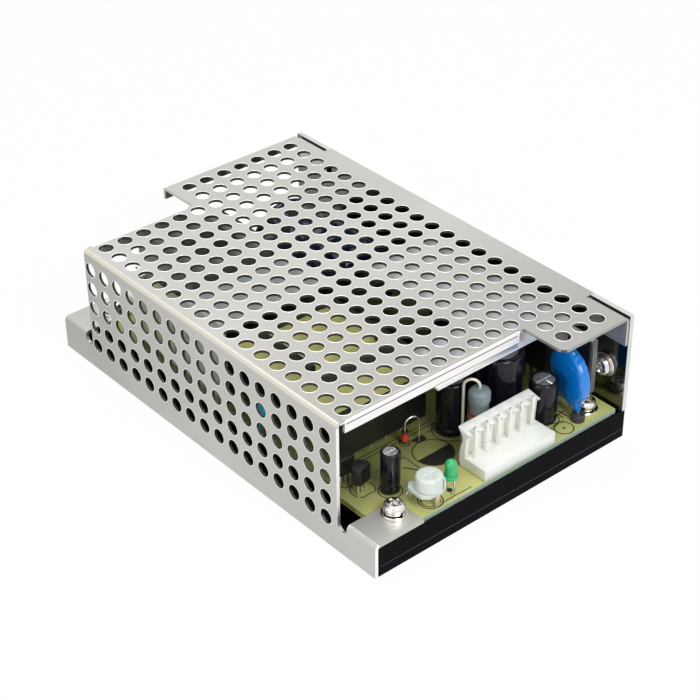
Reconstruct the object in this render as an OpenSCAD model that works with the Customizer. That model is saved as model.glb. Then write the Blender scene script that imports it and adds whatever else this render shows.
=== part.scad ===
/* [Case] */
// Length of the case, input end to output end
case_l = 130; // [126:1:140]
// Width of the case, cover side to chassis wall
case_w = 85; // [83:1:95]
// Height of the case over the chassis foot
case_h = 37.5; // [37:0.5:44]
// Thickness of the chassis plate
chassis_t = 1.5; // [1.2:0.1:2]
// Thickness of the cover sheet
cover_t = 0.8; // [0.6:0.1:1]
// Diameter of each vent hole
vent_d = 4.1; // [3:0.1:4.6]
// Pitch of the square vent pattern
vent_pitch = 6; // [5.8:0.1:6.2]
// Height of the lips that stiffen the cut cover edges
lip_h = 3.6; // [2.5:0.1:5]

/* [Board] */
// Length of the circuit board
board_l = 127; // [124:1:128]
// Width of the circuit board
board_w = 76.2; // [75:0.1:76.5]
// Thickness of the circuit board
board_t = 1.6; // [1:0.1:2]
// Height of the standoffs under the board
standoff_h = 6; // [5:0.5:7]

/* [Connectors] */
// Pitch of the contact pins
pin_pitch = 3.96; // [3.8:0.02:4]
// Number of pins in the output header
output_pin_count = 6; // [3:1:6]
// Number of positions in the input header
input_pin_count = 5; // [3:2:5]

/* [Parts on the board] */
// Diameter of the output capacitor
output_cap_d = 12; // [10:0.5:12.5]
// Height of the output capacitor
output_cap_h = 19.5; // [14:0.5:20]
// Diameter of the reservoir capacitor that lies on the input side
bulk_d = 24.5; // [20:0.5:25]
// Length of the reservoir capacitor
bulk_l = 35; // [28:1:36]
// Diameter of the trimmer knob
knob_d = 6.8; // [6:0.1:7.2]
// Radial clearance of the trimmer spindle in its frame
spindle_gap = 0.05; // [0.03:0.01:0.1]

/* [Hidden] */
$fn = 64;

hx = case_l / 2;
y_left = -case_w / 2;
y_right = case_w / 2;
wall_in = y_right - chassis_t;
bend_in = 0.4;
bend_out = bend_in + cover_t;
cover_lift = 0.2;

vent_rows = 17;
vent_cols = 13;
vent_x0 = -(vent_rows - 1) * vent_pitch / 2;
vent_y0 = y_left + 4.9;
side_vent_rows = 5;
side_vent_x0 = vent_x0 - 0.9;
side_vent_z0 = case_h - 5.3;
recess_x = 51.4;
back_flap_y = vent_y0 + 5.1 * vent_pitch;
front_flap_y = vent_y0 + 9.2 * vent_pitch;
flap_corner_r = 2.5;
lip_end_gap = 1.4;

tab_len = 10.3;
hook_y = wall_in - 0.2;
hook_len = 13;
hook_h = 8.3;
hook_gap = 0.5;

board_z = chassis_t + standoff_h;
board_top = board_z + board_t;
board_y1 = wall_in - 0.8;
board_y0 = board_y1 - board_w;
board_hx = board_l / 2;
tab_top = board_top + cover_t;
tab_x1 = board_hx + 1.5;
tab_x0 = tab_x1 - tab_len;
notch_w = tab_x0 - recess_x;
// Parts on the board are placed from a line that keeps its distance from the board's right edge
layout_y = board_y1 - 40.2;

sheet_t = 0.4;
apron_gap = 0.8;
apron_top = board_top - 0.4;

m3_r = 1.5;
m3_hole_r = 1.65;
tap_r = 1.25;
clinch_r = 2.1;
foot_hole_x = 40;
foot_hole_y = 28;
wall_hole_x = 45;
wall_hole_z = 14;
screw_x = board_hx - 5.2;
screw_ys = [board_y0 + 5.2, board_y1 - 5.8];
tab_y = screw_ys[0] + 3.5;
standoff_r = 3;
flat_h = 0.6;
flat_r = 3.4;
spring_h = 0.8;
spring_r = 2.7;
head_r = 2.8;
head_h = 1.9;
earth_x = 58.2;
earth_z = 20.1;

header_x = 54.2;
header_base_h = 3.2;
header_top = board_top + 11.5;
header_face_x = 58.4;
header_slot_x = 55.5;
header_slot_w = 2.2;
pin_w = 0.9;
pin_top = board_top + 12.3;
pin_tail = 2;
output_header_y = layout_y + 6.1;
input_header_y = layout_y - 15;
pin_x = 57.4;

trimmer_x = 60.4;
trimmer_y = layout_y - 21.6;
frame_z = board_top + 3.6;
frame_t = 1.3;
knob_gap = 0.15;
knob_h = 3.9;
spindle_r = 1.8;

led_x = 60.7;
led_y = layout_y - 14.9;
led_r = 1.5;
led_z = board_top + 4.6;

lead_w = 0.5;

function board_screw_spots() = [for (sx = [-1, 1]) for (y = screw_ys) [sx * screw_x, y]];
function seat_z(y) = y < 0 ? tab_top : board_top;

module block(x0, x1, y0, y1, z0, z1) {
    translate([x0, y0, z0])
        cube([x1 - x0, y1 - y0, z1 - z0]);
}

module post(x, y, z0, z1, r) {
    translate([x, y, z0])
        cylinder(h = z1 - z0, r = r);
}

module ring(x, y, z0, z1, r_out, r_in) {
    difference() {
        post(x, y, z0, z1, r_out);
        post(x, y, z0 - 1, z1 + 1, r_in);
    }
}

// A quarter of a bent sheet, curving from +X round to +Y, with its centre line on Z
module quarter_bend(len, r_out, r_in) {
    intersection() {
        difference() {
            cylinder(h = len, r = r_out);
            translate([0, 0, -1])
                cylinder(h = len + 2, r = r_in);
        }
        cube([r_out + 1, r_out + 1, len]);
    }
}

// A bend along X that joins a level sheet to an upright one; side picks which way it faces
module bend_along_x(x0, x1, y, z, side) {
    translate([side > 0 ? x0 : x1, y, z])
        rotate([90, 0, side > 0 ? 90 : -90])
            quarter_bend(x1 - x0, bend_out, bend_in);
}

// The same along Y, with the upright sheet at the +X side or the -X side
module bend_along_y(y0, y1, x, z, side) {
    translate([x, side > 0 ? y1 : y0, z])
        rotate([90, 0, side > 0 ? 0 : 180])
            quarter_bend(y1 - y0, bend_out, bend_in);
}

module chassis() {
    bend = 2;
    raised = hook_len + hook_gap;
    color("gainsboro")
    difference() {
        union() {
            block(-hx, hx, y_left + cover_t + 0.2, y_right - bend, 0, chassis_t);
            block(-hx, hx, wall_in, y_right, bend, case_h - cover_t);
            translate([-hx, y_right - bend, bend])
                rotate([0, 90, 0])
                    quarter_bend(case_l, bend, bend - chassis_t);
            for (sx = [-1, 1])
                translate([sx * (hx - raised / 2), 0, 0])
                    block(-raised / 2, raised / 2, wall_in, y_right, case_h - cover_t, case_h);
        }
        for (sx = [-1, 1])
            translate([sx * hx, 0, 0])
                block(-apron_gap, apron_gap, y_left, y_right + 1, -1, apron_top);
        for (p = board_screw_spots())
            post(p[0], p[1], -1, chassis_t + 1, clinch_r);
        for (sx = [-1, 1])
            for (sy = [-1, 1])
                post(sx * foot_hole_x, sy * foot_hole_y, -1, chassis_t + 1, tap_r);
        for (sx = [-1, 1])
            translate([sx * wall_hole_x, wall_in - 1, wall_hole_z])
                rotate([-90, 0, 0])
                    cylinder(h = chassis_t + 2, r = tap_r);
        translate([earth_x, wall_in - 1, earth_z])
            rotate([-90, 0, 0])
                cylinder(h = chassis_t + 2, r = m3_r);
    }
}

module vents() {
    for (i = [-2 : vent_rows + 1])
        for (j = [0 : vent_cols - 1])
            if ((i >= 0 && i < vent_rows) || (i < 0 && j >= 6) || (i >= vent_rows && j >= 10))
                post(vent_x0 + i * vent_pitch, vent_y0 + j * vent_pitch,
                    case_h - cover_t - 1, case_h + 1, vent_d / 2);
    for (i = [0 : vent_rows - 1])
        for (k = [0 : side_vent_rows - 1])
            translate([side_vent_x0 + i * vent_pitch, y_left - 1, side_vent_z0 - k * vent_pitch])
                rotate([-90, 0, 0])
                    cylinder(h = cover_t + 2, r = vent_d / 2);
}

module cover_top() {
    edge = y_left + bend_out;
    lip_in = recess_x - bend_out;
    flap_in = hx - bend_out;
    hook_in = hook_y - bend_out;
    mid_x = hx - hook_len - hook_gap;
    difference() {
        translate([0, 0, case_h - cover_t])
            linear_extrude(cover_t)
                polygon([[-recess_x, edge], [recess_x, edge], [recess_x, edge + lip_end_gap],
                    [lip_in, edge + lip_end_gap], [lip_in, front_flap_y - lip_end_gap],
                    [recess_x, front_flap_y - lip_end_gap], [recess_x, front_flap_y],
                    [hx, front_flap_y], [hx, hook_in], [mid_x, hook_in], [mid_x, y_right],
                    [-mid_x, y_right], [-mid_x, hook_in], [-flap_in, hook_in],
                    [-flap_in, back_flap_y], [-recess_x, back_flap_y],
                    [-recess_x, back_flap_y - lip_end_gap], [-lip_in, back_flap_y - lip_end_gap],
                    [-lip_in, edge + lip_end_gap], [-recess_x, edge + lip_end_gap]]);
        translate([hx - flap_corner_r, front_flap_y + flap_corner_r, 0])
            difference() {
                translate([0, -flap_corner_r - 1, case_h - 2])
                    cube([flap_corner_r + 1, flap_corner_r + 1, 4]);
                translate([0, 0, case_h - 3])
                    cylinder(h = 6, r = flap_corner_r);
            }
    }
}

module cover_wall() {
    low = tab_top - bend_out;
    notch_r = notch_w / 2;
    difference() {
        union() {
            block(-recess_x, recess_x, y_left, y_left + cover_t, cover_lift, case_h - bend_out);
            for (sx = [-1, 1])
                translate([sx * (recess_x + tab_x1) / 2, 0, 0])
                    block(-(tab_x1 - recess_x) / 2, (tab_x1 - recess_x) / 2,
                        y_left, y_left + cover_t, cover_lift, low);
        }
        for (sx = [-1, 1])
            translate([sx * (recess_x + notch_r), y_left - 1, low])
                rotate([-90, 0, 0])
                    cylinder(h = cover_t + 2, r = notch_r);
    }
}

module cover() {
    edge = y_left + bend_out;
    lip_y0 = edge + lip_end_gap;
    color("silver")
    difference() {
        union() {
            cover_top();
            cover_wall();
            bend_along_x(-recess_x, recess_x, edge, case_h - bend_out, -1);
            for (sx = [-1, 1]) {
                lip_y1 = (sx > 0 ? front_flap_y : back_flap_y) - lip_end_gap;
                bend_along_y(lip_y0, lip_y1, sx * (recess_x - bend_out), case_h - bend_out, sx);
                translate([sx * (recess_x - cover_t / 2), 0, 0])
                    block(-cover_t / 2, cover_t / 2, lip_y0, lip_y1, case_h - lip_h, case_h - bend_out);
                tab_x = tab_x1 - tab_len / 2;
                translate([sx * tab_x, 0, 0]) {
                    bend_along_x(-tab_len / 2, tab_len / 2, edge, tab_top - bend_out, -1);
                    block(-tab_len / 2, tab_len / 2, edge, tab_y, board_top, tab_top);
                }
                hook_mid = sx * (hx - hook_len / 2 - (sx < 0 ? bend_out / 2 : 0));
                hook_half = hook_len / 2 - (sx < 0 ? bend_out / 2 : 0);
                translate([hook_mid + (sx < 0 ? bend_out : 0), 0, 0]) {
                    bend_along_x(-hook_half, hook_half, hook_y - bend_out, case_h - bend_out, 1);
                    block(-hook_half, hook_half, hook_y - cover_t, hook_y,
                        case_h - hook_h, case_h - bend_out);
                }
            }
            bend_along_y(back_flap_y, hook_y - bend_out, -(hx - bend_out), case_h - bend_out, -1);
            block(-hx, -hx + cover_t, back_flap_y, hook_y - bend_out,
                case_h - lip_h, case_h - bend_out);
        }
        vents();
        for (p = board_screw_spots())
            if (p[1] < 0)
                post(p[0], p[1], board_top - 1, tab_top + 1, m3_hole_r);
    }
}

// Film between the foot and the board, folded up and down over both ends as an apron
module insulation_sheet() {
    y0 = y_left + cover_t + 0.4;
    y1 = wall_in - 0.6;
    out = hx - 0.2;
    color("black")
    difference() {
        union() {
            block(-out, out, y0, y1, chassis_t, chassis_t + sheet_t);
            for (sx = [-1, 1])
                translate([sx * (out - sheet_t / 2), 0, 0])
                    block(-sheet_t / 2, sheet_t / 2, y0, y_right - 0.1, 0.2, apron_top);
        }
        for (p = board_screw_spots())
            post(p[0], p[1], chassis_t - 1, chassis_t + 1, standoff_r + 0.2);
    }
}

// Spots on the board where a lead or pin goes through
function output_pin_ys() = [for (i = [0 : output_pin_count - 1])
    output_header_y + (i - (output_pin_count - 1) / 2) * pin_pitch];
function input_pin_ys() = [for (i = [0 : 2 : input_pin_count - 1])
    input_header_y + (i - (input_pin_count - 1) / 2) * pin_pitch];
function transformer_pin_ys() = [for (i = [0 : 5]) core_mid_y + (i - 2.5) * 5];

module circuit_board() {
    color("yellowgreen")
    difference() {
        block(-board_hx, board_hx, board_y0, board_y1, board_z, board_top);
        for (p = board_screw_spots())
            post(p[0], p[1], board_z - 1, board_top + 1, m3_hole_r);
        for (y = output_pin_ys())
            post(pin_x, y, board_z - 1, board_top + 1, pin_w * 0.75);
        for (y = input_pin_ys())
            post(-pin_x, y, board_z - 1, board_top + 1, pin_w * 0.75);
        for (x = core_pin_xs)
            for (y = transformer_pin_ys())
                post(x, y, board_z - 1, board_top + 1, core_pin_r + 0.1);
    }
}

module standoffs() {
    color("silver")
    for (p = board_screw_spots())
        difference() {
            union() {
                post(p[0], p[1], chassis_t, board_z, standoff_r);
                post(p[0], p[1], 0, chassis_t, clinch_r);
            }
            post(p[0], p[1], chassis_t, board_z + 1, m3_r);
        }
}

module flat_washers() {
    color("lightgray")
    for (p = board_screw_spots())
        ring(p[0], p[1], seat_z(p[1]), seat_z(p[1]) + flat_h, flat_r, m3_hole_r);
}

module spring_washers() {
    color("lightgray")
    for (p = board_screw_spots())
        translate([0, 0, seat_z(p[1]) + flat_h])
            difference() {
                ring(p[0], p[1], 0, spring_h, spring_r, m3_hole_r);
                block(p[0], p[0] + spring_r + 1, p[1] - 0.2, p[1] + 0.2, -1, spring_h + 1);
            }
}

// A pan head screw that points down, with its seat at z = 0
module pan_screw(shank) {
    slot = 0.7;
    difference() {
        union() {
            cylinder(h = head_h * 0.6, r = head_r);
            translate([0, 0, head_h * 0.6])
                cylinder(h = head_h * 0.4, r1 = head_r, r2 = head_r * 0.7);
            translate([0, 0, -shank])
                cylinder(h = shank, r = m3_r);
        }
        for (a = [0, 90])
            rotate([0, 0, a])
                block(-head_r * 0.55, head_r * 0.55, -slot / 2, slot / 2, head_h * 0.4, head_h + 1);
    }
}

module board_screws() {
    color("lightgray")
    for (p = board_screw_spots())
        translate([p[0], p[1], seat_z(p[1]) + flat_h + spring_h])
            pan_screw(seat_z(p[1]) + flat_h + spring_h - board_z + 4);
}

module earth_washer() {
    color("lightgray")
    translate([earth_x, wall_in, earth_z])
        rotate([90, 0, 0])
            ring(0, 0, 0, flat_h, flat_r, m3_hole_r);
}

module earth_screw() {
    color("lightgray")
    translate([earth_x, wall_in - flat_h, earth_z])
        rotate([90, 0, 0])
            pan_screw(flat_h + chassis_t);
}

// A straight header: low base, and behind the pins a latch wall with a slot for each pin
module header(y_mid, count) {
    len = count * pin_pitch + 0.4;
    top = board_top + header_base_h;
    lip = header_top - 0.8;
    difference() {
        translate([0, y_mid + len / 2, 0])
            rotate([90, 0, 0])
                linear_extrude(len)
                    polygon([[header_x + 0.5, board_top], [board_hx, board_top], [board_hx, top],
                        [header_face_x, top], [header_face_x, lip], [header_x + 1.6, lip],
                        [header_x - 0.7, header_top], [header_x + 2.2, lip - 2.4],
                        [header_x, lip - 6], [header_x, board_top + 1.6]]);
        for (i = [0 : count - 1])
            translate([pin_x, y_mid + (i - (count - 1) / 2) * pin_pitch, 0]) {
                block(header_slot_x - pin_x, header_face_x - pin_x + 1,
                    -header_slot_w / 2, header_slot_w / 2, top, header_top + 1);
                block(-pin_w / 2, pin_w / 2, -pin_w / 2, pin_w / 2, board_top - 1, top + 1);
            }
    }
}

module pin_taper(h) {
    half = pin_w / 2;
    top = pin_w * 0.24;
    translate([0, half, 0])
        rotate([90, 0, 0])
            linear_extrude(pin_w)
                polygon([[-half, 0], [half, 0], [top, h], [-top, h]]);
}

module header_pin(y) {
    tip = 0.6;
    block(pin_x - pin_w / 2, pin_x + pin_w / 2, y - pin_w / 2, y + pin_w / 2,
        board_z - pin_tail, pin_top - tip);
    translate([pin_x, y, pin_top - tip])
        intersection() {
            pin_taper(tip);
            rotate([0, 0, 90])
                pin_taper(tip);
        }
}

module output_header() {
    color("ivory") header(output_header_y, output_pin_count);
}

module output_pins() {
    color("lightgray")
    for (y = output_pin_ys())
        header_pin(y);
}

module input_header() {
    color("ivory")
    rotate([0, 0, 180])
        header(-input_header_y, input_pin_count);
}

module input_pins() {
    color("lightgray")
    rotate([0, 0, 180])
        for (y = input_pin_ys())
            header_pin(-y);
}

// Single turn trimmer: a flat frame on three legs with a round knob on top
module trimmer_frame() {
    half = knob_d / 2 + 0.2;
    color("white")
    translate([trimmer_x, trimmer_y, frame_z])
        difference() {
            linear_extrude(frame_t)
                polygon([[-half, -half], [half - 2.6, -half], [half - 1, -half + 1.6],
                    [half - 1, half - 1], [half - 2.2, half + 0.4], [-half, half + 0.4],
                    [-half, 0], [-half - 1.5, -half + 1.6]]);
            translate([0, 0, -1])
                cylinder(h = frame_t + 2, r = spindle_r + spindle_gap);
        }
}

module trimmer_knob() {
    z0 = frame_z + frame_t + knob_gap;
    edge = 0.5;
    slot = 0.9;
    color("whitesmoke")
    translate([trimmer_x, trimmer_y, 0])
        difference() {
            union() {
                translate([0, 0, z0])
                    cylinder(h = knob_h - edge, r = knob_d / 2);
                translate([0, 0, z0 + knob_h - edge])
                    cylinder(h = edge, r1 = knob_d / 2, r2 = knob_d / 2 - edge);
                translate([0, 0, frame_z - 0.6])
                    cylinder(h = z0 - frame_z + 0.6, r = spindle_r);
            }
            block(-knob_d * 0.3, knob_d * 0.3, -slot / 2, slot / 2, z0 + knob_h - 0.8, z0 + knob_h + 1);
        }
}

module trimmer_legs() {
    color("lightgray")
    for (p = [[2.2, 0.8], [-2.6, 2.8], [-4, -1.8]])
        translate([trimmer_x + p[0], trimmer_y + p[1], 0])
            block(-0.2, 0.2, -0.7, 0.7, board_top, frame_z);
}

module led_lens() {
    flange_h = 0.9;
    color("limegreen")
    translate([led_x, led_y, led_z]) {
        cylinder(h = flange_h, r = led_r + 0.35);
        translate([0, 0, flange_h])
            cylinder(h = 5.3 - led_r - flange_h, r = led_r);
        translate([0, 0, 5.3 - led_r])
            intersection() {
                sphere(r = led_r);
                cylinder(h = led_r, r = led_r);
            }
    }
}

module led_leads() {
    color("lightgray")
    for (dx = [-1.27, 1.27])
        translate([led_x + dx, led_y, 0])
            block(-lead_w / 2, lead_w / 2, -lead_w / 2, lead_w / 2, board_top, led_z);
}

// Upright electrolytic capacitors: x, y, outer diameter and height
small_caps = [[50.7, layout_y - 25.3, 5, 11.5], [54.6, layout_y + 23, 6.3, 12.4],
    [22, layout_y + 18, 6.3, 11], [12, layout_y + 27, 6.3, 11]];
output_caps = [[42.3, layout_y + 2.5, 8, 15.4],
    [45.4, layout_y + 16.1, output_cap_d, output_cap_h], [31, layout_y + 20, 8, 15.4]];
sleeve_t = 0.15;
can_lift = 0.5;

module cap_can(d, h) {
    r = d / 2 - sleeve_t;
    groove = 0.3;
    difference() {
        cylinder(h = h - sleeve_t, r = r);
        translate([0, 0, h - sleeve_t - 0.15])
            difference() {
                cylinder(h = 1, r = r * 0.55);
                for (a = [0, 90])
                    rotate([0, 0, a])
                        block(-r, r, -groove / 2, groove / 2, -1, 2);
            }
        translate([0, 0, 2])
            rotate_extrude()
                translate([r + 0.25, 0, 0])
                    circle(r = 0.5, $fn = 24);
    }
}

module cap_sleeve(d, h) {
    r = d / 2;
    difference() {
        cylinder(h = h, r = r);
        translate([0, 0, -1])
            cylinder(h = h + 1 - sleeve_t, r = r - sleeve_t);
        cylinder(h = h + 1, r = r * 0.72);
    }
}

module small_cans() {
    color("silver")
    for (c = small_caps)
        translate([c[0], c[1], board_top + can_lift])
            cap_can(c[2], c[3]);
}

module small_sleeves() {
    color("black")
    for (c = small_caps)
        translate([c[0], c[1], board_top + can_lift])
            cap_sleeve(c[2], c[3]);
}

module output_cans() {
    color("silver")
    for (c = output_caps)
        translate([c[0], c[1], board_top + can_lift])
            cap_can(c[2], c[3]);
}

module output_sleeves() {
    color("black")
    for (c = output_caps)
        translate([c[0], c[1], board_top + can_lift])
            cap_sleeve(c[2], c[3]);
}

// A round lead that rises, turns over in a half circle and comes down again
module hairpin(x, y, angle, z_start, z_bend, span, z_end, r) {
    translate([x, y, 0])
        rotate([0, 0, angle]) {
            post(0, 0, z_start, z_bend, r);
            post(span, 0, z_end, z_bend, r);
            translate([span / 2, 0, z_bend])
                rotate([90, 0, 0])
                    intersection() {
                        rotate_extrude()
                            translate([span / 2, 0])
                                circle(r = r, $fn = 24);
                        translate([-span, 0, -r - 1])
                            cube([2 * span, span, 2 * r + 2]);
                    }
        }
}

load_x = 50;
load_y = layout_y + 4.6;
load_r = 2.8;
load_z0 = board_top + 0.6;
load_z1 = board_top + 15.9;
load_cap_h = 3.2;
load_lead_r = 0.4;

module load_resistor() {
    waist_r = load_r - 0.35;
    round = 0.9;
    color("slategray")
    difference() {
        translate([load_x, load_y, 0])
            rotate_extrude()
                polygon([[0, load_z0], [load_r - round, load_z0], [load_r, load_z0 + round],
                    [load_r, load_z0 + load_cap_h], [waist_r, load_z0 + load_cap_h + 0.6],
                    [waist_r, load_z1 - load_cap_h - 0.6], [load_r, load_z1 - load_cap_h],
                    [load_r, load_z1 - round], [load_r - round, load_z1], [0, load_z1]]);
        post(load_x, load_y, load_z0 - 1, load_z1 + 1, load_lead_r);
    }
}

module resistor_lead() {
    color("lightgray") {
        post(load_x, load_y, board_top, load_z1, load_lead_r);
        hairpin(load_x, load_y, 225, load_z1, load_z1 + 0.6, 4, board_top, load_lead_r);
    }
}

diode_x = 39;
diode_y = layout_y - 10.1;
diode_r = 0.95;
diode_z0 = board_top + 0.8;
diode_z1 = diode_z0 + 3.4;
diode_lead_r = 0.28;

module signal_diode() {
    color("red")
    difference() {
        post(diode_x, diode_y, diode_z0, diode_z1, diode_r);
        post(diode_x, diode_y, diode_z0 - 1, diode_z1 + 1, diode_lead_r);
    }
}

module diode_lead() {
    color("lightgray") {
        post(diode_x, diode_y, board_top, diode_z1, diode_lead_r);
        hairpin(diode_x, diode_y, 75, diode_z1, diode_z1 + 1.4, 4, board_top, diode_lead_r);
    }
}

// Small transistors with one flat face: x, y and the way the flat faces
small_transistor_spots = [[40.8, layout_y - 31.2, 0], [46.2, layout_y - 30.6, 15]];
transistor_lift = 3;

module small_transistors() {
    color("black")
    for (p = small_transistor_spots)
        translate([p[0], p[1], board_top + transistor_lift])
            rotate([0, 0, p[2]])
                intersection() {
                    cylinder(h = 4.8, r = 2.4);
                    block(-3, 1.3, -3, 3, -1, 6);
                }
}

module transistor_legs() {
    color("lightgray")
    for (p = small_transistor_spots)
        translate([p[0], p[1], 0])
            rotate([0, 0, p[2]])
                for (dy = [-1.27, 0, 1.27])
                    block(-lead_w / 2, lead_w / 2, dy - lead_w / 2, dy + lead_w / 2,
                        board_top, board_top + transistor_lift);
}

disc_x = 56;
disc_y = layout_y + 30.4;
disc_z = board_top + 11.3;
disc_r = 7.6;
disc_t = 4.4;
disc_turn = -12;
disc_lead_r = 0.35;
disc_span = 4.6;

module in_disc_frame() {
    translate([disc_x, disc_y, disc_z])
        rotate([0, 0, disc_turn])
            children();
}

// Epoxy dipped disc that stands on edge, with a bulging rim and two dripped lead roots
module disc_capacitor() {
    flat = disc_t / 2;
    color("royalblue")
    in_disc_frame() {
        difference() {
            union() {
                rotate([90, 0, 0])
                    rotate_extrude()
                        difference() {
                            polygon([[0, -flat], [disc_r - flat, -flat], [disc_r, -flat],
                                [disc_r, flat], [disc_r - flat, flat], [0, flat]]);
                            difference() {
                                translate([disc_r - flat, -flat - 1])
                                    square([flat + 1, disc_t + 2]);
                                translate([disc_r - flat, 0])
                                    circle(r = flat);
                            }
                        }
                for (dx = [-disc_span, disc_span])
                    translate([dx, 0, -disc_r - 1.6])
                        cylinder(h = 4.6, r1 = 0.7, r2 = 1.7);
            }
            for (dx = [-disc_span, disc_span])
                translate([dx, 0, -disc_r - 2])
                    cylinder(h = 1.4, r = disc_lead_r);
        }
    }
}

module disc_leads() {
    color("lightgray")
    in_disc_frame()
        for (dx = [-disc_span, disc_span])
            translate([dx, 0, board_top - disc_z])
                cylinder(h = disc_z - board_top - disc_r - 0.6, r = disc_lead_r);
}

module lead_bead() {
    color("dimgray")
    in_disc_frame()
        translate([disc_span, 0, board_top - disc_z])
            ring(0, 0, 0, disc_z - board_top - disc_r - 1.6, 1.8, disc_lead_r);
}

// Folded heat spreader: an upright web beside the chassis wall and a level top
sink_t = 1.6;
sink_y = layout_y + 36.2;
sink_x0 = -4;
sink_x1 = 58;
sink_step_x = 49.6;
sink_z0 = board_top + 3.7;
sink_step_z = board_top + 19.5;
sink_top = board_top + 22.9;
sink_bend = 2;
sink_inner_y = layout_y + 13.4;
sink_front_y = layout_y - 9.2;
sink_front_x = 33;

module output_heatsink() {
    y1 = sink_y + sink_t;
    color("lightsteelblue")
    difference() {
        union() {
            block(sink_x0, sink_step_x, sink_y, y1, sink_z0, sink_top - sink_bend);
            block(sink_x0, sink_x1, sink_y, y1, sink_z0, sink_step_z);
            translate([sink_x0, y1 - sink_bend, sink_top - sink_bend])
                rotate([90, 0, 90])
                    quarter_bend(sink_step_x - sink_x0, sink_bend, sink_bend - sink_t);
            block(sink_x0, sink_step_x, sink_inner_y, y1 - sink_bend, sink_top - sink_t, sink_top);
            block(sink_front_x, sink_step_x, sink_front_y, sink_inner_y, sink_top - sink_t, sink_top);
        }
        for (x = rectifier_xs)
            translate([x, sink_y - 1, rectifier_screw_z])
                rotate([-90, 0, 0])
                    cylinder(h = sink_t + 2, r = m3_hole_r);
    }
}

module heatsink_spacer() {
    color("silver")
    block(6, 52, sink_y + sink_t, wall_in, sink_z0 + 1, sink_z0 + 8);
}

// Power semiconductors with a metal tab: used upright against a heatsink
rectifier_xs = [24, 41];
tab_w = 10;
tab_h = 15;
tab_t = 1.3;
body_h = 9.2;
body_t = 4.4;
body_z = sink_z0 + 2;
rectifier_screw_z = body_z + 12.4;

module metal_tab() {
    difference() {
        block(-tab_w / 2, tab_w / 2, -tab_t, 0, 0, tab_h);
        translate([0, 1, 12.4])
            rotate([90, 0, 0])
                cylinder(h = tab_t + 2, r = m3_hole_r);
    }
}

module tab_body() {
    difference() {
        block(-tab_w / 2, tab_w / 2, -body_t, -tab_t, 0, body_h);
        translate([0, -body_t, body_h])
            rotate([45, 0, 0])
                cube([tab_w + 2, 1, 1], center = true);
    }
}

module tab_legs(z_floor) {
    for (dx = [-2.54, 0, 2.54])
        block(dx - 0.4, dx + 0.4, -2.9, -2.4, z_floor, 0);
}

module rectifier_tabs() {
    color("silver")
    for (x = rectifier_xs)
        translate([x, sink_y, body_z])
            metal_tab();
}

module rectifier_bodies() {
    color("black")
    for (x = rectifier_xs)
        translate([x, sink_y, body_z])
            tab_body();
}

module rectifier_legs() {
    color("lightgray")
    for (x = rectifier_xs)
        translate([x, sink_y, body_z])
            tab_legs(board_top - body_z);
}

// Screws that hold the tabs to their heat spreaders, seen from the body side
module tab_screws() {
    color("lightgray") {
        for (x = rectifier_xs)
            translate([x, sink_y - tab_t, rectifier_screw_z])
                rotate([90, 0, 0])
                    pan_screw(tab_t + sink_t + 1.6);
        translate([switch_x, bridge_y0 + bridge_t + tab_t, switch_z + 12.4])
            rotate([-90, 0, 0])
                pan_screw(tab_t + bridge_t + 1.6);
    }
}

// Main transformer: a flat lying ferrite core round a taped winding on a bobbin
core_x0 = -6;
core_x1 = 28;
core_y0 = layout_y - 31;
core_y1 = layout_y + 3;
core_z0 = board_top + 6.3;
core_z1 = board_top + 17.3;
core_leg = 6;
core_yoke = 5.5;
core_mid_y = (core_y0 + core_y1) / 2;
core_mid_x = (core_x0 + core_x1) / 2;
core_pin_r = 0.45;
core_pin_xs = [core_x0 - 2.9, core_x1 + 5.4];
core_rail_w = 4.4;
winding_w = core_x1 - core_x0 - 2 * core_leg - 1.6;
winding_y0 = core_y0 + core_yoke + 1.4;
winding_y1 = core_y1 - core_yoke - 1.4;
winding_z0 = board_top + 3.3;
winding_z1 = board_top + 20.3;
core_centre_w = 10;
tape_t = 0.3;

module transformer_core() {
    color("dimgray")
    difference() {
        block(core_x0, core_x1, core_y0, core_y1, core_z0, core_z1);
        for (side = [-1, 1])
            translate([core_mid_x + side * (core_centre_w / 2 + core_x1 - core_leg - core_mid_x) / 2, 0, 0])
                block(-(core_x1 - core_leg - core_mid_x - core_centre_w / 2) / 2,
                    (core_x1 - core_leg - core_mid_x - core_centre_w / 2) / 2,
                    core_y0 + core_yoke, core_y1 - core_yoke, core_z0 - 1, core_z1 + 1);
    }
}

module bobbin_flange(y) {
    x0 = core_x0 + core_leg + 0.3;
    x1 = core_x1 - core_leg - 0.3;
    difference() {
        block(x0, x1, y, y + 1.4, winding_z0 - 0.6, winding_z1 + 0.6);
        block(core_mid_x - core_centre_w / 2, core_mid_x + core_centre_w / 2,
            y - 1, y + 3, core_z0, core_z1);
    }
}

module transformer_bobbin() {
    tube = 0.9;
    rail_z = board_top + 2;
    rail_top = core_z1 - 1;
    color("black")
    difference() {
        union() {
            bobbin_flange(core_y0 + core_yoke);
            bobbin_flange(core_y1 - core_yoke - 1.4);
            difference() {
                block(core_mid_x - core_centre_w / 2 - tube, core_mid_x + core_centre_w / 2 + tube,
                    winding_y0, winding_y1, core_z0 - tube, core_z1 + tube);
                block(core_mid_x - core_centre_w / 2, core_mid_x + core_centre_w / 2,
                    winding_y0 - 1, winding_y1 + 1, core_z0, core_z1);
            }
            for (x = core_pin_xs)
                block(x - core_rail_w / 2, x + core_rail_w / 2, core_y0 + 3, core_y1 - 3,
                    rail_z, rail_top);
            for (y = [core_y0 + core_yoke, core_y1 - core_yoke - 1.4])
                block(core_pin_xs[0], core_pin_xs[1], y, y + 1.4, rail_z, winding_z0 - 0.6);
        }
        for (x = core_pin_xs)
            for (y = transformer_pin_ys())
                post(x, y, rail_z - 1, core_z0 + 1, core_pin_r);
    }
}

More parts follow.
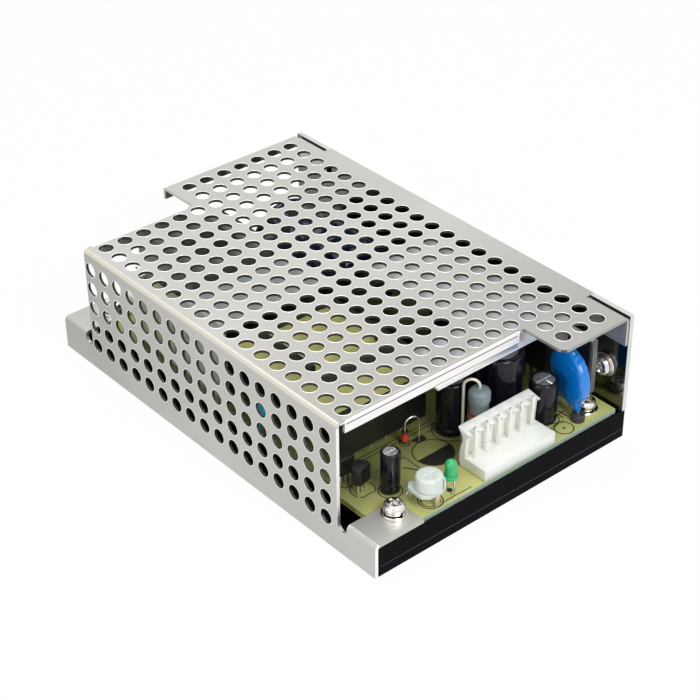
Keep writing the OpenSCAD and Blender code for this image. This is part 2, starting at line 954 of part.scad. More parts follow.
module transformer_winding() {
    tube = 0.9;
    half = winding_w / 2;
    round = 2.5;
    color("khaki")
    difference() {
        translate([core_mid_x, winding_y1, 0])
            rotate([90, 0, 0])
                linear_extrude(winding_y1 - winding_y0)
                    difference() {
                        polygon([[-half, winding_z0], [half, winding_z0],
                            [half, winding_z1], [-half, winding_z1]]);
                        for (sx = [-1, 1])
                            difference() {
                                translate([sx * half, winding_z1])
                                    square(2 * round, center = true);
                                translate([sx * (half - round), winding_z1 - round])
                                    circle(r = round);
                            }
                    }
        block(core_mid_x - core_centre_w / 2 - tube, core_mid_x + core_centre_w / 2 + tube,
            winding_y0 - 1, winding_y1 + 1, core_z0 - tube, core_z1 + tube);
    }
}

module transformer_tape() {
    color("khaki")
    difference() {
        block(core_x0 - tape_t, core_x1 + tape_t, core_y0 - tape_t, core_y1 + tape_t,
            core_z0 + 0.8, core_z1 - 0.8);
        block(core_x0, core_x1, core_y0, core_y1, core_z0, core_z1);
    }
}

module transformer_pins() {
    color("lightgray")
    for (x = core_pin_xs)
        for (y = transformer_pin_ys())
            post(x, y, board_z - pin_tail, core_z0 + 0.4, core_pin_r);
}

// Reservoir capacitor lying along the board, in a saddle of its own sleeve
bulk_x1 = -7.5;
bulk_y = layout_y + 17.6;
bulk_z = board_top + bulk_d / 2;
bulk_lip = 0.4;

module bulk_frame() {
    translate([bulk_x1 - bulk_l, bulk_y, bulk_z])
        rotate([0, 90, 0])
            children();
}

module bulk_can() {
    color("silver")
    bulk_frame()
        difference() {
            translate([0, 0, bulk_lip])
                cylinder(h = bulk_l - 2 * bulk_lip, r = bulk_d / 2 - bulk_lip);
            translate([0, 0, 3])
                rotate_extrude()
                    translate([bulk_d / 2 - bulk_lip + 0.4, 0])
                        circle(r = 1);
        }
}

module bulk_sleeve() {
    color("midnightblue")
    bulk_frame()
        difference() {
            cylinder(h = bulk_l, r = bulk_d / 2);
            translate([0, 0, bulk_lip])
                cylinder(h = bulk_l - 2 * bulk_lip, r = bulk_d / 2 - bulk_lip);
            translate([0, 0, -1])
                cylinder(h = bulk_l + 2, r = bulk_d / 2 - 2);
        }
}

// Folded heat spreader of the switching transistor: two upright webs and a level top
bridge_x0 = -21.5;
bridge_x1 = -5;
bridge_y0 = layout_y - 33;
bridge_y1 = layout_y + 3;
bridge_top = board_top + 22.4;
bridge_t = 1.6;
bridge_bend = 2;

module switch_heatsink() {
    len = bridge_x1 - bridge_x0;
    color("lightsteelblue") {
        block(bridge_x0, bridge_x1, bridge_y0 + bridge_bend, bridge_y1, bridge_top - bridge_t, bridge_top);
        difference() {
            block(bridge_x0, bridge_x1, bridge_y0, bridge_y0 + bridge_t,
                board_top, bridge_top - bridge_bend);
            translate([switch_x, bridge_y0 - 1, switch_z + 12.4])
                rotate([-90, 0, 0])
                    cylinder(h = bridge_t + 2, r = m3_hole_r);
        }
        translate([bridge_x1, bridge_y0 + bridge_bend, bridge_top - bridge_bend])
            rotate([90, 0, -90])
                quarter_bend(len, bridge_bend, bridge_bend - bridge_t);
    }
}

switch_z = board_top + 3;
switch_x = bridge_x0 + tab_w / 2 + 0.1;

module switch_frame() {
    translate([switch_x, bridge_y0 + bridge_t, switch_z])
        rotate([0, 0, 180])
            children();
}

module switch_tab() {
    color("silver")
    switch_frame() {
        metal_tab();
        tab_legs(board_top - switch_z);
    }
}

module switch_body() {
    color("black")
    switch_frame()
        tab_body();
}

// Line filter choke: a square ferrite ring lying flat on a two chamber bobbin
filter_x0 = -52;
filter_x1 = -28;
filter_y0 = layout_y - 25;
filter_y1 = layout_y + 2;
filter_z0 = board_top + 14.9;
filter_z1 = case_h - 4.5;
filter_leg = 6;
choke_winding_r = 4.6;
filter_mid_y = (filter_y0 + filter_y1) / 2;

module filter_core() {
    color("dimgray")
    difference() {
        block(filter_x0, filter_x1, filter_y0, filter_y1, filter_z0, filter_z1);
        block(filter_x0 + filter_leg, filter_x1 - filter_leg, filter_y0 + filter_leg,
            filter_y1 - filter_leg, filter_z0 - 1, filter_z1 + 1);
    }
}

module filter_bobbin() {
    pad = 1.2;
    color("ivory")
    difference() {
        block(filter_x0 + 1, filter_x1 - 1, filter_y0 + 1, filter_y1 - 1, board_top, filter_z0);
        block(filter_x0 + filter_leg, filter_x1 - filter_leg, filter_y0 - 1, filter_y1 + 1,
            board_top + pad, filter_z0 - pad);
    }
}

module filter_windings() {
    z = filter_z0 - choke_winding_r - 1.3;
    color("darkgoldenrod")
    for (y = [filter_mid_y - 5.2, filter_mid_y + 5.2])
        translate([filter_x0 + filter_leg, y, z])
            rotate([0, 90, 0])
                cylinder(h = filter_x1 - filter_x0 - 2 * filter_leg, r = choke_winding_r);
}

module box_capacitor(x0, x1, y0, y1, h, foot) {
    difference() {
        block(x0, x1, y0, y1, board_top, board_top + h);
        block(x0 + foot, x1 - foot, y0 - 1, y1 + 1, board_top - 1, board_top + 0.5);
    }
}

module line_capacitor() {
    color("cornsilk")
    box_capacitor(-44, -26, layout_y - 33, layout_y - 26, 15.5, 2);
}

module film_capacitor() {
    z0 = board_top + 5.9;
    y = layout_y - 34;
    color("deepskyblue") {
        block(10.2, 16.6, y - 1.4, y + 1.4, z0, z0 + 5.4);
        for (x = [11, 15.8])
            block(x - 0.3, x + 0.3, y - 0.3, y + 0.3, board_top, z0);
    }
}

module bridge_rectifier() {
    h = 13;
    color("black")
    translate([-52, layout_y + 31.8, board_top])
        difference() {
            cube([20, 3.6, h]);
            translate([0, 1.8, h])
                rotate([0, 45, 0])
                    cube([h * 0.28, 6, h * 0.28], center = true);
        }
}

fuse_x0 = -61.8;
fuse_l = 18.6;
fuse_y = layout_y + 7;
fuse_r = 2.6;
fuse_cap_l = 5;

module fuse_tube() {
    color("white")
    translate([fuse_x0 + fuse_cap_l, fuse_y, board_top + fuse_r + 1])
        rotate([0, 90, 0])
            cylinder(h = fuse_l - 2 * fuse_cap_l, r = fuse_r - 0.25);
}

module fuse_caps() {
    color("silver")
    for (x = [fuse_x0, fuse_x0 + fuse_l - fuse_cap_l]) {
        translate([x, fuse_y, board_top + fuse_r + 1])
            rotate([0, 90, 0])
                cylinder(h = fuse_cap_l, r = fuse_r);
        block(x + 1, x + fuse_cap_l - 1, fuse_y - 1.5, fuse_y + 1.5, board_top, board_top + fuse_r);
    }
}

module thermistor() {
    color("darkolivegreen")
    translate([-50, layout_y + 25.5, board_top + 7.5])
        rotate([90, 0, 20]) {
            cylinder(h = 4, r = 6);
            for (dx = [-2.5, 2.5])
                translate([dx, 0, 2])
                    rotate([90, 0, 0])
                        cylinder(h = 7.5, r = 0.4);
        }
}

module optocouplers() {
    color("black")
    for (x = [3, 14])
        block(x, x + 6.4, layout_y + 6.5, layout_y + 11, board_top, board_top + 4);
}

module control_chip() {
    color("black")
    difference() {
        block(-2, 7.5, layout_y + 14, layout_y + 20.4, board_top, board_top + 3.6);
        post(-2, layout_y + 17.2, board_top + 3, board_top + 5, 1);
    }
}

chassis();
cover();
insulation_sheet();
circuit_board();
standoffs();
flat_washers();
spring_washers();
board_screws();
earth_washer();
earth_screw();
output_header();
output_pins();
input_header();
input_pins();
trimmer_frame();
trimmer_knob();
trimmer_legs();
led_lens();
led_leads();
small_cans();
small_sleeves();
output_cans();
output_sleeves();
load_resistor();
resistor_lead();
signal_diode();
diode_lead();
small_transistors();
transistor_legs();
disc_capacitor();
disc_leads();
lead_bead();
output_heatsink();
heatsink_spacer();
rectifier_tabs();
rectifier_bodies();
rectifier_legs();
tab_screws();
transformer_core();
transformer_bobbin();
transformer_winding();
transformer_tape();
transformer_pins();
bulk_can();
bulk_sleeve();
switch_heatsink();
switch_tab();
switch_body();
filter_core();
filter_bobbin();
filter_windings();
line_capacitor();
film_capacitor();
bridge_rectifier();
fuse_tube();
fuse_caps();
thermistor();
optocouplers();
control_chip();
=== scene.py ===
import math

import bpy
import numpy as np
from mathutils import Matrix, Vector


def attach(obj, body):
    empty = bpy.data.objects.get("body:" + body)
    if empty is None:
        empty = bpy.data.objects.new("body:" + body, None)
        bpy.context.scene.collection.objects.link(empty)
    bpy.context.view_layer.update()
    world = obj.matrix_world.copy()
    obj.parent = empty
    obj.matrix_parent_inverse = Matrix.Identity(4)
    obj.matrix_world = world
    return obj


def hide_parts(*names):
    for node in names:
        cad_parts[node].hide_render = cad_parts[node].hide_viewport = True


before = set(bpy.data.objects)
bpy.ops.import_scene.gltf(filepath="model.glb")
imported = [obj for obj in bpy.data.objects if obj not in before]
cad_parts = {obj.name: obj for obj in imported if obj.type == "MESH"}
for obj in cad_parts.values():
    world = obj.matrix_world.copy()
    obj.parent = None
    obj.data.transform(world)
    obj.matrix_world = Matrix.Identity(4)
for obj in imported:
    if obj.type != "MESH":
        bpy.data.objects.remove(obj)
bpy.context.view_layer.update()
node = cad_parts

# ---------------------------------------------------------------- studio
# A pale floor and white surroundings, one large soft lamp overhead and two
# weaker ones at the sides, so bare metal shows soft bright and dark bands.
scene = bpy.context.scene
scene.view_settings.view_transform = "Standard"

lens_spot = Vector((0.3104, -0.2569, 0.2863))
lens_right = Vector((0.64971, 0.76014, -0.00856)).normalized()
lens_ahead = Vector((-0.63205, 0.53390, -0.56166)).normalized()
lens_up = lens_right.cross(lens_ahead).normalized()
camera_data = bpy.data.cameras.new("camera")
camera_data.sensor_width = 36.0
camera_data.lens = 94.67
camera_data.clip_start = 0.01
camera = bpy.data.objects.new("camera", camera_data)
scene.collection.objects.link(camera)
turn = Matrix((lens_right, lens_up, -lens_ahead)).transposed()
camera.matrix_world = Matrix.Translation(lens_spot) @ turn.to_4x4()
scene.camera = camera


def seen_by_camera(tree):
    """1 for rays that carry the picture: straight from the camera, off a mirror or through glass."""
    path = tree.nodes.new("ShaderNodeLightPath")
    seen = path.outputs["Is Camera Ray"]
    for kind in ("Is Transmission Ray", "Is Glossy Ray"):
        either = tree.nodes.new("ShaderNodeMath")
        either.operation = "MAXIMUM"
        tree.links.new(seen, either.inputs[0])
        tree.links.new(path.outputs[kind], either.inputs[1])
        seen = either.outputs[0]
    return seen


world = bpy.data.worlds.new("studio")
scene.world = world
world.use_nodes = True
tree = world.node_tree
tree.nodes.clear()
sky_out = tree.nodes.new("ShaderNodeOutputWorld")
sky_mix = tree.nodes.new("ShaderNodeMixShader")
sky_white = tree.nodes.new("ShaderNodeBackground")
sky_white.inputs["Color"].default_value = (1, 1, 1, 1)
sky_white.inputs["Strength"].default_value = 1.0
sky_soft = tree.nodes.new("ShaderNodeBackground")
sky_soft.inputs["Color"].default_value = (0.97, 0.98, 1.0, 1)
sky_soft.inputs["Strength"].default_value = 0.22
tree.links.new(seen_by_camera(tree), sky_mix.inputs[0])
tree.links.new(sky_soft.outputs[0], sky_mix.inputs[1])
tree.links.new(sky_white.outputs[0], sky_mix.inputs[2])
tree.links.new(sky_mix.outputs[0], sky_out.inputs[0])


def lamp(name, spot, aim, size, watts):
    """A square soft box at spot that faces aim, with its side and its power."""
    data = bpy.data.lights.new(name, "AREA")
    data.shape = "SQUARE"
    data.size = size
    data.energy = watts
    obj = bpy.data.objects.new(name, data)
    scene.collection.objects.link(obj)
    obj.location = spot
    obj.rotation_euler = (Vector(aim) - Vector(spot)).to_track_quat("-Z", "Y").to_euler()
    return obj


lamp("lamp_top", (-0.15, 0.10, 0.75), (0, 0, 0.02), 0.55, 2.6)
lamp("lamp_front", (0.62, -0.10, 0.62), (0.03, 0, 0.02), 0.35, 4.0)
lamp("lamp_left", (0.15, -0.80, 0.35), (0.02, 0, 0.02), 0.40, 1.6)

floor_side = 6.0
floor_z = -0.0004
floor_mesh = bpy.data.meshes.new("floor")
floor_corners = [(x * floor_side, y * floor_side, floor_z) for x, y in ((-1, -1), (1, -1), (1, 1), (-1, 1))]
floor_mesh.from_pydata(floor_corners, [], [(0, 1, 2, 3)])
floor = bpy.data.objects.new("floor", floor_mesh)
scene.collection.objects.link(floor)
floor_paint = bpy.data.materials.new("floor_paint")
floor_paint.use_nodes = True
tree = floor_paint.node_tree
tree.nodes.clear()
floor_out = tree.nodes.new("ShaderNodeOutputMaterial")
floor_mix = tree.nodes.new("ShaderNodeMixShader")
floor_matt = tree.nodes.new("ShaderNodeBsdfDiffuse")
floor_matt.inputs["Color"].default_value = (0.93, 0.93, 0.93, 1)
floor_glow = tree.nodes.new("ShaderNodeEmission")
floor_glow.inputs["Strength"].default_value = 1.0
floor_part = tree.nodes.new("ShaderNodeMath")
floor_part.operation = "MULTIPLY"
floor_part.inputs[1].default_value = 0.97
tree.links.new(seen_by_camera(tree), floor_part.inputs[0])
tree.links.new(floor_part.outputs[0], floor_mix.inputs[0])
tree.links.new(floor_matt.outputs[0], floor_mix.inputs[1])
tree.links.new(floor_glow.outputs[0], floor_mix.inputs[2])
tree.links.new(floor_mix.outputs[0], floor_out.inputs[0])
floor_mesh.materials.append(floor_paint)

# ---------------------------------------------------------------- chassis
# The foot and the full height wall are one bent plate of bright rolled metal.
# Its finish has fine rolling marks along the length and a faint haze, and
# close by it mirrors what stands next to it.
mm = 0.001


def finish(name, colour, metallic, roughness, **sockets):
    """A new material with one main shader; sockets names further plain values on it."""
    paint = bpy.data.materials.new(name)
    paint.use_nodes = True
    main = paint.node_tree.nodes["Principled BSDF"]
    main.inputs["Base Color"].default_value = (*colour, 1)
    main.inputs["Metallic"].default_value = metallic
    main.inputs["Roughness"].default_value = roughness
    for key, value in sockets.items():
        main.inputs[key.replace("_", " ")].default_value = value
    return paint, paint.node_tree, main


def cloud(tree, stretch, scale, detail=4.0):
    """Noise on the piece's own coordinates, stretched along X, Y and Z, as a value from 0 to 1."""
    spot = tree.nodes.new("ShaderNodeTexCoord")
    shift = tree.nodes.new("ShaderNodeMapping")
    shift.inputs["Scale"].default_value = stretch
    noise = tree.nodes.new("ShaderNodeTexNoise")
    noise.inputs["Scale"].default_value = scale
    noise.inputs["Detail"].default_value = detail
    noise.inputs["Roughness"].default_value = 0.55
    tree.links.new(spot.outputs["Object"], shift.inputs["Vector"])
    tree.links.new(shift.outputs["Vector"], noise.inputs["Vector"])
    return noise.outputs["Fac"]


def place(tree, axis):
    """The piece's own X, Y or Z in metres, as a value."""
    spot = tree.nodes.new("ShaderNodeTexCoord")
    split = tree.nodes.new("ShaderNodeSeparateXYZ")
    tree.links.new(spot.outputs["Object"], split.inputs[0])
    return split.outputs[axis]


def between(tree, value, low, high, to_low, to_high):
    """value from low..high mapped to to_low..to_high, held at the ends."""
    span = tree.nodes.new("ShaderNodeMapRange")
    for key, number in zip(("From Min", "From Max", "To Min", "To Max"), (low, high, to_low, to_high)):
        span.inputs[key].default_value = number
    tree.links.new(value, span.inputs["Value"])
    return span.outputs["Result"]


def bands(tree, value, stops, hard=False):
    """A colour that runs through stops, each a position from 0 to 1 and a colour; hard stops don't blend."""
    ramp = tree.nodes.new("ShaderNodeValToRGB")
    ramp.color_ramp.interpolation = "CONSTANT" if hard else "LINEAR"
    for _ in stops[2:]:
        ramp.color_ramp.elements.new(1.0)
    for element, (position, colour) in zip(ramp.color_ramp.elements, stops):
        element.position = position
        element.color = (*colour, 1)
    tree.links.new(value, ramp.inputs["Fac"])
    return ramp.outputs["Color"]


def relief(tree, main, value, strength, height):
    """value raises the surface a little, by height metres at most."""
    bump = tree.nodes.new("ShaderNodeBump")
    bump.inputs["Strength"].default_value = strength
    bump.inputs["Distance"].default_value = height
    tree.links.new(value, bump.inputs["Height"])
    tree.links.new(bump.outputs["Normal"], main.inputs["Normal"])


def paint_nodes(paint, *names):
    """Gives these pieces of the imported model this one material."""
    for name in names:
        mesh = node[name].data
        mesh.materials.clear()
        mesh.materials.append(paint)


def times(tree, first, *others):
    """The product of two or more values."""
    for other in others:
        product = tree.nodes.new("ShaderNodeMath")
        product.operation = "MULTIPLY"
        tree.links.new(first, product.inputs[0])
        tree.links.new(other, product.inputs[1])
        first = product.outputs[0]
    return first


def within(tree, axis, low, high):
    """1 where the piece's own X, Y or Z is between low and high millimetres, 0 elsewhere."""
    spot = place(tree, axis)
    soft = 0.15
    return times(tree, between(tree, spot, low * mm, (low + soft) * mm, 0, 1),
                 between(tree, spot, (high - soft) * mm, high * mm, 1, 0))


def blend_to(tree, main, socket, part, value):
    """Changes a socket of the main shader to value where part is 1, and keeps it where part is 0."""
    mix = tree.nodes.new("ShaderNodeMix")
    colour = isinstance(value, tuple)
    mix.data_type = "RGBA" if colour else "FLOAT"
    a, b = [i for i in mix.inputs if i.enabled and i.name in ("A", "B")]
    linked = main.inputs[socket].links
    if linked:
        tree.links.new(linked[0].from_socket, a)
    else:
        a.default_value = main.inputs[socket].default_value
    b.default_value = (*value, 1) if colour else value
    tree.links.new(part, mix.inputs["Factor"])
    tree.links.new([o for o in mix.outputs if o.enabled][0], main.inputs[socket])


rolled, tree, main = finish("rolled_metal", (0.78, 0.79, 0.78), 1.0, 0.06)
marks = cloud(tree, (60, 900, 900), 1.0, 3.0)
tree.links.new(between(tree, marks, 0.3, 0.7, 0.04, 0.10), main.inputs["Roughness"])
haze = cloud(tree, (1, 1, 1), 35.0, 3.0)
tree.links.new(bands(tree, haze, [(0.3, (0.66, 0.67, 0.66)), (0.75, (0.80, 0.81, 0.79))]),
               main.inputs["Base Color"])
relief(tree, main, marks, 0.08, 0.00001)
# The wall's inner face is toned down, for the deep shade inside the case.
inner_face = within(tree, "Y", 40.8, 41.2)
blend_to(tree, main, "Base Color", inner_face, (0.14, 0.14, 0.13))
blend_to(tree, main, "Roughness", inner_face, 0.13)
paint_nodes(rolled, "chassis")

# ---------------------------------------------------------------- cover
# One folded and punched sheet with a satin warm grey face. Very fine grain runs along
# the case and its tone drifts softly. The deeper skirt of the front lip and the fine
# line under its bend are thin pieces of their own.
wall_y = -42.5
case_end = 65.0
case_top = 37.5
lip_x = 51.4
skirt_y0, skirt_y1 = -11.6, 16.0
skirt_low = 32.7
lip_low = 34.0
sheet = 0.8


def grid_faces(rows, columns, wrap=True, caps=True):
    """Faces of a grid of points: each row is joined to the next one, wrap joins the
    last column to the first, and caps closes the first and the last row with one face."""
    i, j = np.meshgrid(np.arange(rows - 1), np.arange(columns if wrap else columns - 1), indexing="ij")
    k = (j + 1) % columns
    quads = np.stack([i * columns + j, i * columns + k, (i + 1) * columns + k, (i + 1) * columns + j], -1)
    ends = [np.arange(columns)[::-1], np.arange((rows - 1) * columns, rows * columns)] if caps else []
    return quads.reshape(-1, 4), ends


def surface(grid, wrap=True, caps=True):
    """Points and faces of a grid of rows, in millimetres."""
    quads, ends = grid_faces(grid.shape[0], grid.shape[1], wrap, caps)
    return grid.reshape(-1, 3), quads, ends


def piece(name, surfaces, paint, stands_for=(), body="unit", crease=40):
    """One object made of several surfaces; edges sharper than crease degrees stay crisp."""
    points = np.concatenate([s[0] for s in surfaces]) * mm
    faces = []
    start = 0
    for spots, quads, ends in surfaces:
        faces += (quads + start).tolist() + [(e + start).tolist() for e in ends]
        start += len(spots)
    mesh = bpy.data.meshes.new(name)
    mesh.from_pydata(points.tolist(), [], faces)
    mesh.polygons.foreach_set("use_smooth", np.ones(len(mesh.polygons), dtype=bool))
    mesh.set_sharp_from_angle(angle=math.radians(crease))
    mesh.materials.append(paint)
    obj = bpy.data.objects.new(name, mesh)
    scene.collection.objects.link(obj)
    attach(obj, body)
    if stands_for:
        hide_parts(*stands_for)
    return obj


def round_outline(corners, radius, steps=5):
    """A closed outline with its corners rounded: each corner becomes a curve from the
    point radius before it to the point radius after it, bent towards the corner."""
    p = np.array(corners, float)
    r = np.broadcast_to(np.array(radius, float), len(p))[:, None]
    back = np.roll(p, 1, 0) - p
    on = np.roll(p, -1, 0) - p
    a = p + back / np.linalg.norm(back, axis=1, keepdims=True) * r
    b = p + on / np.linalg.norm(on, axis=1, keepdims=True) * r
    t = np.linspace(0, 1, steps)[None, :, None]
    bulge = 1.17
    pull = p[:, None] * bulge + (a + b)[:, None] / 2 * (1 - bulge)
    curve = (1 - t) ** 2 * a[:, None] + 2 * t * (1 - t) * pull + t ** 2 * b[:, None]
    return curve.reshape(-1, 2)


def rectangle(x0, y0, x1, y1):
    """The corners of a rectangle, anticlockwise."""
    return [(x0, y0), (x1, y0), (x1, y1), (x0, y1)]


def raised(outline, levels):
    """An outline, anticlockwise, carried up through levels; each is how far the outline
    is drawn in and the height, so an edge is rounded by several levels close together."""
    p = np.array(outline, float)
    edge = np.roll(p, -1, 0) - p
    edge /= np.linalg.norm(edge, axis=1, keepdims=True) + 1e-12
    out = np.stack([edge[:, 1], -edge[:, 0]], 1)
    mitre = out + np.roll(out, 1, 0)
    mitre /= (1 + (out * np.roll(out, 1, 0)).sum(1, keepdims=True)).clip(0.4)
    lv = np.array(levels, float)
    flat = p[None] - mitre[None] * lv[:, None, :1]
    high = np.broadcast_to(lv[:, None, 1:], flat.shape[:2] + (1,))
    return surface(np.concatenate([flat, high], -1))


def soft_edges(low, high, r, steps=4):
    """Levels for raised: a block from low to high whose two rims are rounded by r."""
    a = np.linspace(0, np.pi / 2, steps)
    first = np.stack([r * (1 - np.sin(a)), low + r * (1 - np.cos(a))], 1)
    last = np.stack([r * (1 - np.cos(a)), high - r * (1 - np.sin(a))], 1)
    return np.concatenate([first, last])


def zone(tree, **spans):
    """1 inside a box given by its low and high millimetres on X, Y or Z, 0 elsewhere."""
    return times(tree, *[within(tree, axis, *span) for axis, span in spans.items()])


satin, tree, main = finish("satin_sheet", (0.54, 0.53, 0.50), 0.85, 0.42)
grain = cloud(tree, (400, 4000, 4000), 1.0, 2.0)
drift = cloud(tree, (1, 1, 1), 22.0, 3.0)
tree.links.new(bands(tree, drift, [(0.3, (0.50, 0.495, 0.47)), (0.7, (0.57, 0.56, 0.53))]),
               main.inputs["Base Color"])
tree.links.new(between(tree, grain, 0.3, 0.7, 0.38, 0.48), main.inputs["Roughness"])
relief(tree, main, grain, 0.06, 0.00001)
paint_nodes(satin, "cover")

# Painted shade: the top is drawn a little darker towards the output end and the upright face towards the
# input end.
top_painted_shade = times(tree, within(tree, "Z", 36.6, 38), between(tree, place(tree, "X"), 0.0, 0.05, 0, 1))
blend_to(tree, main, "Base Color", top_painted_shade, (0.40, 0.395, 0.375))
wall_painted_shade = times(tree, within(tree, "Y", wall_y - 0.2, wall_y + 0.3),
                   between(tree, place(tree, "X"), -0.05, -0.01, 0.6, 0))
blend_to(tree, main, "Base Color", wall_painted_shade, (0.38, 0.375, 0.35))
# Painted highlights: the bend at the top of the upright face and the face of the front lip are
# drawn bright, and the sheared upright edges at the output end are drawn near white where they catch the
# light.
blend_to(tree, main, "Base Color", zone(tree, Y=(wall_y - 0.2, wall_y + 1), Z=(36.5, 38)), (0.70, 0.67, 0.58))
edge_highlight = (1.0, 0.98, 0.95)
edge_y = (wall_y - 0.2, wall_y + 1.2)
wall_end = zone(tree, Y=edge_y, Z=(10.6, 36.4), X=(lip_x - 0.2, lip_x + 0.2))
strip_end = zone(tree, Y=edge_y, X=(case_end - 0.2, case_end + 0.3))
for part in (wall_end, strip_end):
    blend_to(tree, main, "Base Color", part, edge_highlight)
# Painted shade: the punched walls of the holes and the sheet's inner side are drawn dark, in the flat part of
# the top and of the upright face.
punched_z = (case_top - 1, case_top - 0.04)
punched_parts = (((-50.1, 50.1), (-41.1, 40.6)), ((50.0, 64.8), (17.8, 40.6)), ((-63.9, -50.0), (-6.0, 40.6)))
for span_x, span_y in punched_parts:
    blend_to(tree, main, "Base Color", zone(tree, Z=punched_z, Y=span_y, X=span_x), (0.10, 0.10, 0.09))
blend_to(tree, main, "Base Color", zone(tree, Y=(wall_y + 0.04, wall_y + 1), Z=(5, 35), X=(-51.2, 50.8)),
         (0.12, 0.12, 0.11))
# The face of the front lip is painted near white, a painted highlight.
bright = (0.98, 0.96, 0.93)
lip_part = zone(tree, X=(lip_x - 0.5, lip_x + 1), Y=(-41.4, 16.6), Z=(30, 37.3))
blend_to(tree, main, "Base Color", lip_part, bright)
blend_to(tree, main, "Roughness", lip_part, 0.3)


def on_plane(part, spot, first, second, normal):
    """Turns a surface drawn in its own X, Y and Z onto the directions first, second and
    normal, with its origin at spot."""
    points, quads, ends = part
    turn = np.array([first, second, normal], float)
    if np.linalg.det(turn) < 0:
        quads = quads[:, ::-1]
        ends = [e[::-1] for e in ends]
    return points @ turn + np.array(spot, float), quads, ends


facing_x = ((0, 1, 0), (0, 0, 1), (1, 0, 0))


def plate(outline, levels):
    """A plate across the case: its outline is drawn in Y and Z and its levels run along X."""
    return on_plane(raised(outline, levels), (0, 0, 0), *facing_x)


# The lip's deeper skirt is given the same near white, a painted highlight.
bright_lip = finish("bright_lip", bright, 0.85, 0.3)[0]
skirt_shape = round_outline(rectangle(skirt_y0, skirt_low, skirt_y1, lip_low + 0.1), (1.1, 0.2, 0.02, 0.02))
piece("lip_skirt", [plate(skirt_shape, soft_edges(lip_x - sheet, lip_x, 0.12))], bright_lip)
line_paint = finish("bend_line", (0.17, 0.09, 0.22), 0, 0.6, Specular_IOR_Level=0.1)[0]
line_shape = round_outline(rectangle(-39.5, 36.1, 15.5, 36.38), 0.05)
piece("bend_line", [plate(line_shape, soft_edges(lip_x - 0.02, lip_x + 0.02, 0.01))],
      line_paint)

# Each punched hole has a fine rim where the punch turned the edge; the rim's bright colour is a painted
# highlight.
vent_r = 2.05
vent_pitch = 6.0
rim_w, rim_h = 0.16, 0.035
top_x0, top_y0 = -48, -37.6
side_x0, side_z0 = -48.9, 32.2


def rims(centres, first, second, normal):
    """Low rings round the centres of holes: three circles, the middle one raised, drawn on
    the plane of first and second."""
    sides = 24
    a = np.linspace(0, 2 * np.pi, sides, endpoint=False)
    loops = np.array([[vent_r + rim_w, 0.0], [vent_r + 0.07, rim_h], [vent_r - 0.01, 0.0]])
    flat = [loops[:, :1] * np.cos(a), loops[:, :1] * np.sin(a)]
    local = np.stack([*flat, np.broadcast_to(loops[:, 1:], (3, sides))], -1)
    ring = local @ np.array([first, second, normal], float)
    points = (np.array(centres, float)[:, None, None] + ring[None]).reshape(-1, 3)
    quads, _ = grid_faces(3, sides, caps=False)
    return points, (quads[None] + 3 * sides * np.arange(len(centres))[:, None, None]).reshape(-1, 4), []


columns, rows = np.meshgrid(np.arange(-2, 19), np.arange(13))
shown = ((columns >= 0) & (columns < 17)) | ((columns < 0) & (rows >= 6)) | ((columns >= 17) & (rows >= 10))
top_holes = np.stack([top_x0 + vent_pitch * columns[shown], top_y0 + vent_pitch * rows[shown],
                      np.full(shown.sum(), case_top)], 1)
columns, rows = np.meshgrid(np.arange(17), np.arange(5))
side_holes = np.stack([side_x0 + vent_pitch * columns.ravel(), np.full(columns.size, wall_y),
                       side_z0 - vent_pitch * rows.ravel()], 1)
rim_metal = finish("rim_metal", (0.93, 0.92, 0.88), 0.7, 0.35)[0]
piece("vent_rims", [rims(top_holes, (1, 0, 0), (0, 1, 0), (0, 0, 1)),
                    rims(side_holes, (1, 0, 0), (0, 0, 1), (0, -1, 0))], rim_metal)

# A strip of insulating tape lines the inside of the lip; its saw cut edge
# hangs a little below the sheet.
teeth = 24
tape_y0, tape_y1 = -38.5, -26.0
tape_y = np.linspace(tape_y0, tape_y1, 2 * teeth + 1)
tape_low = np.where(np.arange(2 * teeth + 1) % 2, lip_low - 0.45, lip_low - 0.1)
tape_shape = np.concatenate([np.stack([tape_y, tape_low], 1),
                             [[tape_y1, lip_low + 2], [tape_y0, lip_low + 2]]])
cream_tape = finish("cream_tape", (0.80, 0.74, 0.58), 0, 0.45)[0]
piece("lip_tape", [plate(tape_shape, [(0, lip_x - sheet - 0.12), (0, lip_x - sheet - 0.02)])],
      cream_tape)

# ---------------------------------------------------------------- insulation film
# Black film lines the foot and is folded up in front of the board's ends as an apron,
# with a soft crease along the front where it was folded; the crease is drawn lighter and
# bluer than the film as a painted highlight. A band of the same film goes round the
# transformer's core.


def plain(name, colour, metallic, roughness, names, spread=0.12, scale=150.0, **sockets):
    """A finish whose tone and gloss vary a little, on the pieces named."""
    paint, tree, main = finish(name, colour, metallic, roughness, **sockets)
    value = cloud(tree, (1, 1, 1), scale, 4.0)
    low = tuple(c * (1 - spread) for c in colour)
    high = tuple(min(1, c * (1 + spread)) for c in colour)
    tree.links.new(bands(tree, value, [(0.3, low), (0.7, high)]), main.inputs["Base Color"])
    tree.links.new(between(tree, value, 0.3, 0.7, roughness * 0.85, min(1, roughness * 1.15)),
                   main.inputs["Roughness"])
    relief(tree, main, cloud(tree, (1, 1, 1), scale * 12, 2.0), 0.05, 0.00003)
    paint_nodes(paint, *names)
    return paint


plain("black_film", (0.004, 0.004, 0.005), 0, 0.55, ["insulation_sheet", "transformer_tape"],
      Specular_IOR_Level=0.03)
# The crease's lighter, bluer colour is a painted highlight.
crease_film = finish("creased_film", (0.025, 0.035, 0.055), 0, 0.3, Specular_IOR_Level=0.2)[0]
crease_shape = round_outline([(-40.8, 2.95), (41.8, 2.55), (41.8, 2.8), (-40.8, 3.2)], 0.1)
piece("film_crease", [plate(crease_shape, soft_edges(case_end - 0.3, case_end - 0.12, 0.08))],
      crease_film)
